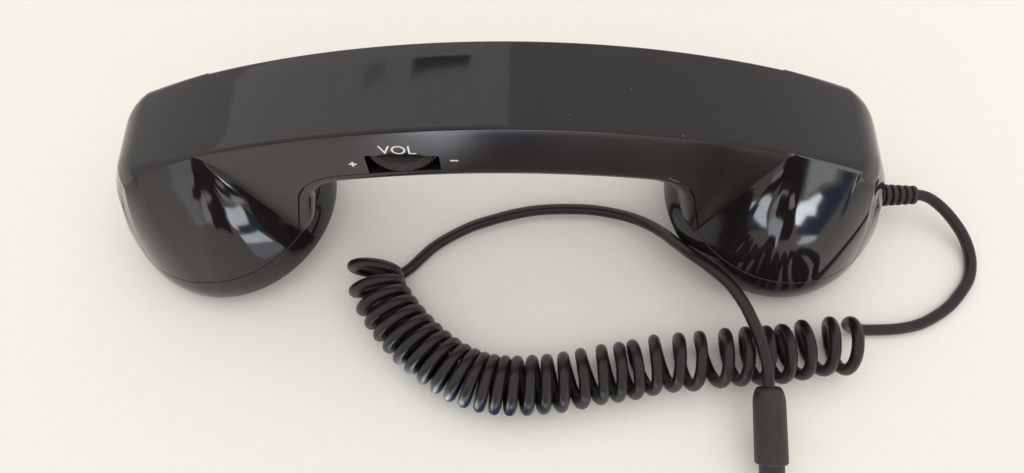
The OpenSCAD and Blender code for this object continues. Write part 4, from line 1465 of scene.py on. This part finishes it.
@dataclass
class CurlyCord:
    """One cable: a lead to the table, a row of loose turns and a straight tail to the plug."""

    plug: Plug
    cord_d: float = 3.2
    coil_d: float = 16.2
    run_in: tuple[float, float, float] = (5.4, 2.7, 0)
    steps_a_turn: int = 28
    sides: int = 14
    crease: float = 60
    route_step: float = 1.2
    coil_step: float = 0.2
    even_out: float = 0.4
    hop_pull: float = 1.15
    lead: list[tuple[float, float, float]] = field(default_factory=lambda: [
        (121.3, 0, 9.72), (123.4, -0.1, 9.68), (126.2, -1.2, 9.2), (129.9, -4, 7.9), (133.4, -7.7, 6),
        (136, -11.2, 4), (137.4, -15.4, 2.4), (137.2, -19.6, 1.7), (135.6, -23.6, 1.6), (132.6, -27.5, 1.6),
        (128.8, -31.3, 1.6), (124.2, -34.4, 1.6), (119.2, -36.8, 1.6), (113.8, -38, 1.6), (108.8, -38.4, 1.6),
        (104.2, -38.5, 1.6)])
    coil: list[tuple[float, float]] = field(default_factory=lambda: [
        (103, -44.9), (96.6, -44.9), (91.6, -44.9), (85.7, -45.5), (77.2, -47.2), (70.1, -47.7),
        (61.6, -48.3), (53, -49.3), (44.1, -50), (36, -51.8), (27.8, -53), (19.4, -54.8), (11, -55.8),
        (2, -56), (-5.9, -54.6), (-13.4, -51.1), (-20.6, -45.8), (-26.9, -39.4), (-31.9, -32.8), (-34.7, -27.6),
        (-35.5, -22.5), (-35, -17)])
    stops: list[tuple[float, float]] = field(default_factory=lambda: [
        (-0.5, 6.1), (0, 8), (1, 15), (2, 21.8), (3, 26.6), (6, 43.2), (7, 51), (8, 55.8), (9, 63),
        (11, 71.6), (14, 87.4), (17, 100.3), (21, 114.3), (25, 129.9), (28, 141.9), (30, 150.5),
        (31, 156.3), (31.25, 157.6)])
    tail: list[tuple[float, float, float]] = field(default_factory=lambda: [
        (-29.6, -21.9, 1.6), (-26.4, -19.6, 1.6), (-23.3, -16.3, 1.6), (-20, -13, 1.6), (-15.6, -9.9, 1.6),
        (-9.2, -6.4, 1.6), (-3.2, -4.2, 1.6), (2.9, -2.4, 1.6), (9, -1.1, 1.6), (15, -0.5, 1.6),
        (21.2, -0.4, 1.6), (27.4, -0.7, 1.6), (33.2, -1.7, 1.7), (38.8, -3.6, 2.5), (43.7, -6.8, 4.6),
        (47.4, -11, 7.8), (50.2, -15.6, 11.4), (53.3, -20.3, 14.8), (57.6, -25, 17), (62.1, -30, 18),
        (65.4, -35.6, 18.4), (67.7, -41.6, 18.4), (69.4, -47.2, 17.9)])

    @staticmethod
    def smooth(points: Points, step: float) -> Points:
        """Runs a Catmull-Rom curve through points and samples it evenly.

        Args:
            points: The points of the route.
            step: Distance between samples.

        Returns:
            The samples, both ends included.
        """
        p = np.asarray(points, float)
        p = np.vstack([2 * p[0] - p[1], p, 2 * p[-1] - p[-2]])
        fine = []
        for i in range(1, len(p) - 2):
            t = np.linspace(0, 1, 24, endpoint=False)[:, None]
            a, b, c, d = p[i - 1], p[i], p[i + 1], p[i + 2]
            fine.append(0.5 * (2 * b + (c - a) * t + (2 * a - 5 * b + 4 * c - d) * t**2
                               + (3 * b - a - 3 * c + d) * t**3))
        fine = np.vstack([*fine, p[-2]])
        reach = marks_along(fine)
        at = np.linspace(0, reach[-1], max(2, int(reach[-1] / step) + 1))
        return np.column_stack([np.interp(at, reach, fine[:, k]) for k in range(fine.shape[1])])

    def helix(self) -> Points:
        """Returns the centre line of the turns, which lie on the table round the coil's own line.

        Each whole number of turns lies at the near side, and the strand goes over the top from the
        far side to the near one.
        """
        r = (self.coil_d - self.cord_d) / 2
        line = self.smooth(np.array(self.coil), self.coil_step)
        reach = marks_along(line)
        turns, marks = np.array(self.stops).T
        phase = np.linspace(turns[0], turns[-1], int((turns[-1] - turns[0]) * self.steps_a_turn) + 1)
        spread = np.linspace(-self.even_out, self.even_out, 9)
        at = np.mean([np.interp(phase + d, turns, marks) for d in spread], axis=0)
        mid = np.column_stack([np.interp(at, reach, line[:, k]) for k in (0, 1)])
        way = unit(np.gradient(line, axis=0))
        along = unit(np.column_stack([np.interp(at, reach, way[:, k]) for k in (0, 1)]))
        across = np.column_stack([along[:, 1], -along[:, 0]])
        a = 2 * math.pi * phase + math.pi
        flat = mid + across * (r * np.cos(a))[:, None]
        return np.column_stack([flat, self.coil_d / 2 + r * np.sin(a)])

    def path(self) -> Points:
        """Returns the whole centre line, from the strain relief to the plug, in millimetres."""
        helix = self.helix()
        last = [np.array(self.plug.rear) - s * self.plug.way() for s in self.run_in]
        rise = self._bridge(self.lead[-1], self.lead[-2], helix[0], helix[1])
        lead = self.smooth(np.array([*self.lead, *rise]), self.route_step)[:-1]
        first = np.array(self.tail[0])
        joint = self._bridge(helix[-1], helix[-2], first, self.tail[1])
        tail = self.smooth(np.array([helix[-1], *joint[:-1], *self.tail, *last]), self.route_step)
        path = np.vstack([lead, helix, tail[1:]])
        path[:, 2] = np.maximum(path[:, 2], self.cord_d / 2)
        return path

    def _bridge(self, a: Sequence[float], before: Sequence[float], b: Sequence[float],
                after: Sequence[float]) -> list[Points]:
        """Returns points of a smooth hop between two stretches, its far end included.

        Args:
            a: Where the first stretch ends.
            before: A point on it just before its end.
            b: Where the next stretch starts.
            after: A point on it just after its start.

        Returns:
            Three points between a and b, and b.
        """
        a, before, b, after = (np.asarray(v, float) for v in (a, before, b, after))
        pull = np.linalg.norm(b - a) * self.hop_pull
        u, v = unit(a - before) * pull, unit(after - b) * pull
        made = []
        for t in (0.25, 0.5, 0.75, 1.0):
            made.append((2 * t**3 - 3 * t**2 + 1) * a + (t**3 - 2 * t**2 + t) * u
                        + (3 * t**2 - 2 * t**3) * b + (t**3 - t**2) * v)
        return made

    def tube(self, path: Points) -> Points:
        """Returns rings round a centre line, turned as little as can be from one to the next.

        Args:
            path: The centre line.

        Returns:
            A grid with a ring in each row.
        """
        way = unit(np.gradient(path, axis=0))
        side = unit(np.cross(way[0], [0, 0, 1.0]))
        angles = np.linspace(0, 2 * math.pi, self.sides, endpoint=False)
        rings = []
        for p, t in zip(path, way):
            side = unit(side - (side @ t) * t)
            up = np.cross(t, side)
            turn = np.cos(angles)[:, None] * side + np.sin(angles)[:, None] * up
            rings.append(p + turn * self.cord_d / 2)
        return np.array(rings)

    def build(self, paint: Paint) -> tuple[bpy.types.Object, Points]:
        """Builds the cable as one tube.

        Args:
            paint: The finishes.

        Returns:
            The cable and its centre line in metres.
        """
        path = self.path()
        parts = MeshParts()
        parts.add_grid(self.tube(path), close_cols=True, ends=True)
        cable = paint.dress(parts.piece("curly_cord", self.crease), CORD_BLACK)
        enter(cable, Body.HANDSET, "cord", "cord_lead", "cord_coil", "cord_tail")
        return cable, path * MM


@dataclass
class StrainRelief:
    """The ribbed sleeve where the cable leaves the mouth cup."""

    root_x: float = 109.7
    z: float = 9.72
    collar_l: float = 1.6
    length: float = 10
    root_d: float = 6.6
    end_d: float = 5.4
    ribs: int = 5
    groove: float = 0.75
    neck_l: float = 1.4
    neck_r: float = 2.45
    bore_r: float = 1.75

    def profile(self) -> list[tuple[float, float]]:
        """Returns the sleeve's outline as radius and distance from its root."""
        r0 = self.root_d / 2
        made = [(0.0, -self.neck_l), (self.neck_r, -self.neck_l), (self.neck_r, 0.0), (r0 - 0.25, 0.0),
                (r0, 0.25), (r0, self.collar_l - 0.2), (r0 - 0.2, self.collar_l)]
        pitch = self.length / self.ribs
        for k in range(self.ribs):
            a = self.collar_l + k * pitch
            for share, cut in ((0.08, self.groove), (0.36, self.groove), (0.44, 0.12), (0.52, 0.0),
                               (0.92, 0.0), (1.0, 0.12)):
                s = (k + share) / self.ribs
                r = r0 + (self.end_d - self.root_d) / 2 * s
                made.append((r - cut, a + share * pitch))
        made += [(self.bore_r, self.collar_l + self.length), (0.0, self.collar_l + self.length)]
        return made

    def build(self, paint: Paint) -> bpy.types.Object:
        """Builds the sleeve.

        Args:
            paint: The finishes.

        Returns:
            The sleeve.
        """
        sleeve = turned("strain_relief_ribbed", self.profile(), 64, self._place)
        return enter(paint.dress(sleeve, RUBBER_BLACK), Body.HANDSET, "cord", "strain_relief")

    def _place(self, p: Points) -> Points:
        """Lays the sleeve's own axis along +X at the seam's height."""
        return np.stack([self.root_x + p[..., 2], p[..., 1], self.z + p[..., 0]], -1)


@dataclass
class InnerPieces:
    """The CAD nodes that keep their own shape, each with its finish."""

    finishes: dict[str, Finish] = field(default_factory=lambda: {
        "ear_grille": GRILLE_BLACK, "mouth_grille": GRILLE_BLACK, "ear_gasket": FOAM_GREY,
        "receiver_speaker": SPEAKER_STEEL, "speaker_clamp": WEIGHT_STEEL, "microphone_boot": SEAL_BLACK,
        "microphone_capsule": CAPSULE_METAL, "ear_weight": WEIGHT_STEEL, "mouth_weight": WEIGHT_STEEL,
        "volume_board": BOARD_GREEN, "volume_pot": SPEAKER_STEEL, "button_board": BOARD_GREEN,
        "button_switch": SPEAKER_STEEL, "shell_screws": SCREW_STEEL, "small_screws": SCREW_STEEL,
        "jack_sleeve": COPPER_PINK, "jack_rings": COPPER_PINK, "jack_insulators": INSULATOR_BLACK,
        "jack_tip": NICKEL})

    def dress(self, nodes: dict[str, bpy.types.Object], paint: Paint) -> None:
        """Puts each finish on its node.

        Args:
            nodes: The CAD nodes by name.
            paint: The finishes.
        """
        for name, finish in self.finishes.items():
            paint.dress_node(nodes[name], finish)
        log.info("%d CAD nodes dressed", len(self.finishes))


@dataclass
class Camera:
    """The photograph's view, as a focal length in the picture's pixels and a place in millimetres."""

    focal_px: float = 794.1
    place: tuple[float, float, float] = (8.91, -104.22, 220.37)
    pitch: float = 66.55
    yaw: float = -3.26
    roll: float = -3.09
    picture_w: int = 1024

    def build(self) -> None:
        """Makes the camera and looks through it."""
        p, a, r = (math.radians(v) for v in (self.pitch, self.yaw, self.roll))
        ahead = Vector((math.sin(a) * math.cos(p), math.cos(a) * math.cos(p), -math.sin(p)))
        right = Vector((math.cos(a), -math.sin(a), 0))
        up = right.cross(ahead)
        right_rolled = right * math.cos(r) + up * math.sin(r)
        up_rolled = up * math.cos(r) - right * math.sin(r)
        turn = Matrix((right_rolled, up_rolled, -ahead)).transposed()
        data = bpy.data.cameras.new("photograph_view")
        data.sensor_width = 36
        data.lens = self.focal_px / self.picture_w * data.sensor_width
        data.clip_start, data.clip_end = 0.005, 20
        camera = linked("photograph_view", data)
        camera.matrix_world = Matrix.Translation(Vector(self.place) * MM) @ turn.to_4x4()
        bpy.context.scene.camera = camera


class Stand(Enum):
    """Which surface a painted reflection lies on, with its place along its axis in millimetres."""

    TABLE = 0.0
    WALL = -650.0
    CEILING = 950.0


# How far each patch lies over the one before it, in millimetres
PATCH_GAP = 0.004


@dataclass(frozen=True)
class PaintedReflection:
    """A painted reflection: a glowing patch that only the gloss shows, with its outline in millimetres."""

    name: str
    stand: Stand
    level: float
    colour: Colour
    outline: tuple[tuple[float, float], ...]

    def points(self, step: int) -> list[tuple[float, float, float]]:
        """Returns its corners in metres.

        Args:
            step: How many patches lie behind it, each by a few thousandths of a millimetre.

        Returns:
            A point for each corner.
        """
        near = self.stand.value + PATCH_GAP * step * (-1 if self.stand is Stand.CEILING else 1)
        if self.stand is Stand.WALL:
            return [(a * MM, near * MM, b * MM) for a, b in self.outline]
        return [(a * MM, b * MM, near * MM) for a, b in self.outline]


# Colours of the painted reflections, the glows that stand in for windows, walls and dark things mirrored in the
# gloss
PALE: Colour = (0.95, 1.0, 0.95)
PAINTED_WINDOW_BLUE: Colour = (0.86, 0.93, 1.0)
CREAM: Colour = (1.0, 0.99, 0.96)
ROSE: Colour = (1.0, 0.93, 0.9)
NAVY: Colour = (0.2, 0.45, 1.0)
WINE: Colour = (1.0, 0.1, 0.2)
# The painted reflections: bright patches paint window and wall reflections into the gloss, dim ones (level 0.04
# to 0.5) paint dark reflections
PAINTED_REFLECTIONS = (
    PaintedReflection("left_grey", Stand.TABLE, 1.5, PALE, (
        (-346, -294), (-361, -333), (-247, -324), (-226, -200), (-147, -215), (-123, -183), (-100, -148),
        (-141, -105), (-191, -150), (-262, -206))),
    PaintedReflection("left_wine", Stand.TABLE, 0.04, WINE, (
        (-404, -640), (-369, -348), (-248, -338), (-227, -201), (-194, -166), (-147, -215), (-94, -320),
        (-81, -252), (-94, -199), (-85, -131), (-70, -126), (-53, -110), (-46, -148), (-24, -185),
        (-8, -242), (3, -306), (119, -368), (150, -640))),
    PaintedReflection("left_streak", Stand.TABLE, 2.4, ROSE, (
        (-94, -320), (-81, -252), (-94, -199), (-86, -181), (-88, -146), (-112, -142), (-137, -219))),
    PaintedReflection("left_dark", Stand.TABLE, 0.04, CREAM, (
        (216, -279), (85, -137), (28, -171), (23, -221), (3, -306), (119, -368))),
    PaintedReflection("right_wine", Stand.TABLE, 0.04, WINE, (
        (765, -640), (382, -414), (346, -362), (177, -168), (139, -144), (119, -106), (100, -97), (79, -100),
        (68, -120), (60, -150), (66, -200), (90, -280), (120, -380), (150, -640))),
    PaintedReflection("left_pane", Stand.TABLE, 2.2, PALE, ((150, -240), (150, -165), (100, -176), (99, -231))),
    PaintedReflection("left_sill", Stand.TABLE, 4.0, PAINTED_WINDOW_BLUE, ((80, -88), (56, -115), (28, -171), (85, -137))),
    PaintedReflection("left_window", Stand.TABLE, 8, PAINTED_WINDOW_BLUE, (
        (-4, -172), (25, -139), (53, -116), (-1, -99), (-28, -108), (-43, -126), (-37, -153))),
    PaintedReflection("left_navy", Stand.TABLE, 0.5, NAVY, (
        (-13, -47), (-16, -59), (-7, -74), (-30, -102), (-26, -117), (-1, -99), (50, -114))),
    PaintedReflection("left_low_window", Stand.TABLE, 7, PAINTED_WINDOW_BLUE, ((-38, -102), (-8, -80), (-19, -61), (-42, -87))),
    PaintedReflection("left_fade", Stand.TABLE, 1.8, PAINTED_WINDOW_BLUE, (
        (-42, -87), (-25, -71), (-19, -61), (-24, -50), (-46, -61), (-48, -70))),
    PaintedReflection("right_streak", Stand.TABLE, 2.4, ROSE, (
        (28, -172), (30, -209), (81, -281), (60, -214), (58, -146), (54, -124))),
    PaintedReflection("right_window", Stand.TABLE, 13, PAINTED_WINDOW_BLUE, (
        (172, -160), (184, -165), (213, -186), (200, -168), (178, -148), (157, -124), (152, -126),
        (135, -109), (130, -115), (143, -140))),
    PaintedReflection("right_pane", Stand.TABLE, 5, PAINTED_WINDOW_BLUE, (
        (124, -91), (131, -89), (127, -84), (119, -81), (114, -82))),
    PaintedReflection("right_navy", Stand.TABLE, 0.5, NAVY, (
        (214, -185), (241, -204), (246, -202), (281, -226), (293, -223), (133, -90), (127, -91), (123, -98),
        (152, -126), (157, -124), (178, -148), (200, -168))),
    PaintedReflection("right_wall", Stand.TABLE, 2.8, PALE, (
        (372, -393), (520, -640), (876, -640), (258, -222), (249, -224), (215, -196), (207, -192),
        (183, -168), (200, -190))),
    PaintedReflection("wall_wine", Stand.WALL, 0.04, WINE, ((-553, 0), (-170, 223), (-40, 223), (60, 0))),
    PaintedReflection("wall_pale", Stand.WALL, 2.8, PALE, ((560, 0), (640, 260), (1100, 260), (1014, 0))),
    PaintedReflection("ceiling_left", Stand.CEILING, 1.3, CREAM, (
        (-1500, 200), (12, 200), (12, 1300), (-1500, 1300))),
    PaintedReflection("ceiling_dark", Stand.CEILING, 0.1, PAINTED_WINDOW_BLUE, (
        (-345, 650), (-130, 640), (-120, 678), (-330, 690))),
    PaintedReflection("ceiling_faint", Stand.CEILING, 0.85, PAINTED_WINDOW_BLUE, (
        (-560, 672), (-450, 668), (-440, 700), (-520, 712))),
)


@dataclass
class Studio:
    """The table, the soft light and the painted reflections: glowing patches that only the gloss shows."""

    table_colour: Colour = (0.88, 0.855, 0.80)
    table_deep: float = 0.97
    table_mottle: float = 260
    table_half: float = 3
    world_colour: Colour = (1.0, 0.985, 0.955)
    world_level: float = 0.85
    lamp_place: tuple[float, float, float] = (0.15, 0.05, 1.2)
    lamp_size: tuple[float, float] = (1.7, 1.5)
    lamp_colour: Colour = (1.0, 0.99, 0.97)
    lamp_power: float = 6.2
    # Brightness, darker share and mottle size of the painted reflections' glow
    painted_glow_gain: float = 1.25
    painted_glow_deep: float = 0.6
    painted_glow_mottle: float = 40

    def _pale(self, w: Wiring) -> bpy.types.NodeSocket:
        """Adds the table top's own dull surface.

        Args:
            w: The material's wiring.

        Returns:
            The shader's socket.
        """
        deep = tuple(c * self.table_deep for c in self.table_colour)
        colour = w.mix_colour(w.noise(w.place(), self.table_mottle), deep, self.table_colour)
        look = {"Base Color": colour, "Roughness": 1.0, "Specular IOR Level": 0.0}
        return w.node("ShaderNodeBsdfPrincipled", look).outputs[0]

    def _glow(self, w: Wiring, patch: PaintedReflection) -> bpy.types.NodeSocket:
        """Adds a patch's painted glow, a little uneven, which the gloss shows as a reflection.

        Args:
            w: The material's wiring.
            patch: The patch.

        Returns:
            The shader's socket.
        """
        deep = tuple(c * self.painted_glow_deep for c in patch.colour)
        colour = w.mix_colour(w.noise(w.place(), self.painted_glow_mottle), deep, patch.colour)
        look = {"Color": colour, "Strength": patch.level * self.painted_glow_gain}
        return w.node("ShaderNodeEmission", look).outputs[0]

    def _surface(self, patch: PaintedReflection | None) -> bpy.types.Material:
        """Builds the table top's material, or that of a patch, which looks like the plain table to the camera
        and glows for glossy rays as a painted reflection.

        Args:
            patch: The patch, or None for the plain table.

        Returns:
            The material.
        """
        made, w = new_material("painted_glow_" + patch.name if patch else "pale_table")
        shown = self._pale(w)
        if patch:
            # Glossy rays see the patch's painted glow; the camera and all other rays see the plain table
            mixed = w.node("ShaderNodeMixShader")
            glossy = w.node("ShaderNodeLightPath").outputs["Is Glossy Ray"]
            for source, target in zip((glossy, shown, self._glow(w, patch)), mixed.inputs):
                w.feed(source, target)
            shown = mixed.outputs[0]
        w.node("ShaderNodeOutputMaterial", {"Surface": shown})
        return made

    def _table(self) -> None:
        """Lays the table top under the handset, with the painted reflection patches that glow only for glossy
        rays.
        """
        h = self.table_half
        points, faces = [(-h, -h, 0), (h, -h, 0), (h, h, 0), (-h, h, 0)], [[0, 1, 2, 3]]
        mesh = bpy.data.meshes.new("table_top")
        mesh.materials.append(self._surface(None))
        for patch in (p for p in PAINTED_REFLECTIONS if p.stand is Stand.TABLE):
            corners = patch.points(len(faces))
            faces.append(list(range(len(points), len(points) + len(corners))))
            points += corners
            mesh.materials.append(self._surface(patch))
        mesh.from_pydata(points, [], faces)
        for number, face in enumerate(mesh.polygons):
            face.material_index = number
        linked("table_top", mesh)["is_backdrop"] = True

    def _painted_reflection_sheets(self) -> None:
        """Sets up the painted reflections of the wall and the ceiling: glowing sheets that only the gloss
        shows.
        """
        for step, patch in enumerate(p for p in PAINTED_REFLECTIONS if p.stand is not Stand.TABLE):
            mesh = bpy.data.meshes.new("painted_sheet_" + patch.name)
            mesh.from_pydata(patch.points(step), [], [list(range(len(patch.outline)))])
            mesh.materials.append(self._surface(patch))
            piece = linked(mesh.name, mesh)
            # The sheets are hidden from camera, diffuse and shadow rays, so they only paint reflections into
            # the gloss
            piece.visible_camera = False
            piece.visible_diffuse = False
            piece.visible_shadow = False
            piece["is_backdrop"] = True

    def _world(self) -> None:
        """Fills the world with an even warm white."""
        world = bpy.data.worlds.new("soft_room")
        bpy.context.scene.world = world
        world.use_nodes = True
        w = Wiring(world.node_tree)
        look = {"Color": (*self.world_colour, 1), "Strength": self.world_level}
        back = w.node("ShaderNodeBackground", look)
        w.node("ShaderNodeOutputWorld", {"Surface": back.outputs[0]})

    def _lamp(self) -> None:
        """Hangs one wide lamp over the table, aimed at the origin, which the gloss doesn't show."""
        data = bpy.data.lights.new("sky_light", "AREA")
        data.shape = "RECTANGLE"
        data.size, data.size_y = self.lamp_size
        data.energy = self.lamp_power
        data.color = self.lamp_colour
        lamp = linked("sky_light", data)
        lamp.location = self.lamp_place
        lamp.rotation_mode = "QUATERNION"
        lamp.rotation_quaternion = Vector(self.lamp_place).to_track_quat("Z", "Y")
        lamp.visible_glossy = False

    def build(self) -> None:
        """Sets up the table, the world, the painted reflections of the room and the lamp."""
        bpy.context.scene.view_settings.view_transform = "Standard"
        self._table()
        self._world()
        self._painted_reflection_sheets()
        self._lamp()


def main() -> None:
    """Builds the camera, the cord, the casing and the rest."""
    logging.basicConfig(level=logging.INFO, format="%(message)s")
    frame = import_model()
    cad_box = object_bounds()
    Camera().build()
    paint = Paint()
    plug = Plug()
    cord = CurlyCord(plug)
    cable, path = cord.build(paint)
    relief = StrainRelief().build(paint)
    plug_pieces = plug.build(paint)
    form = CasingForm()
    Casing(form).build(paint)
    VolumeControl(form).build(paint)
    CallButton().build(paint)
    InnerPieces().dress(frame["nodes"], paint)
    Studio().build()
    look_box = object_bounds()
    boxes = {"cad": [list(v) for v in cad_box], "look": [list(v) for v in look_box]}
    for name, (low, high) in boxes.items():
        log.info("%s box: %s to %s", name, [round(v, 5) for v in low], [round(v, 5) for v in high])


if __name__ == "__main__":
    main()
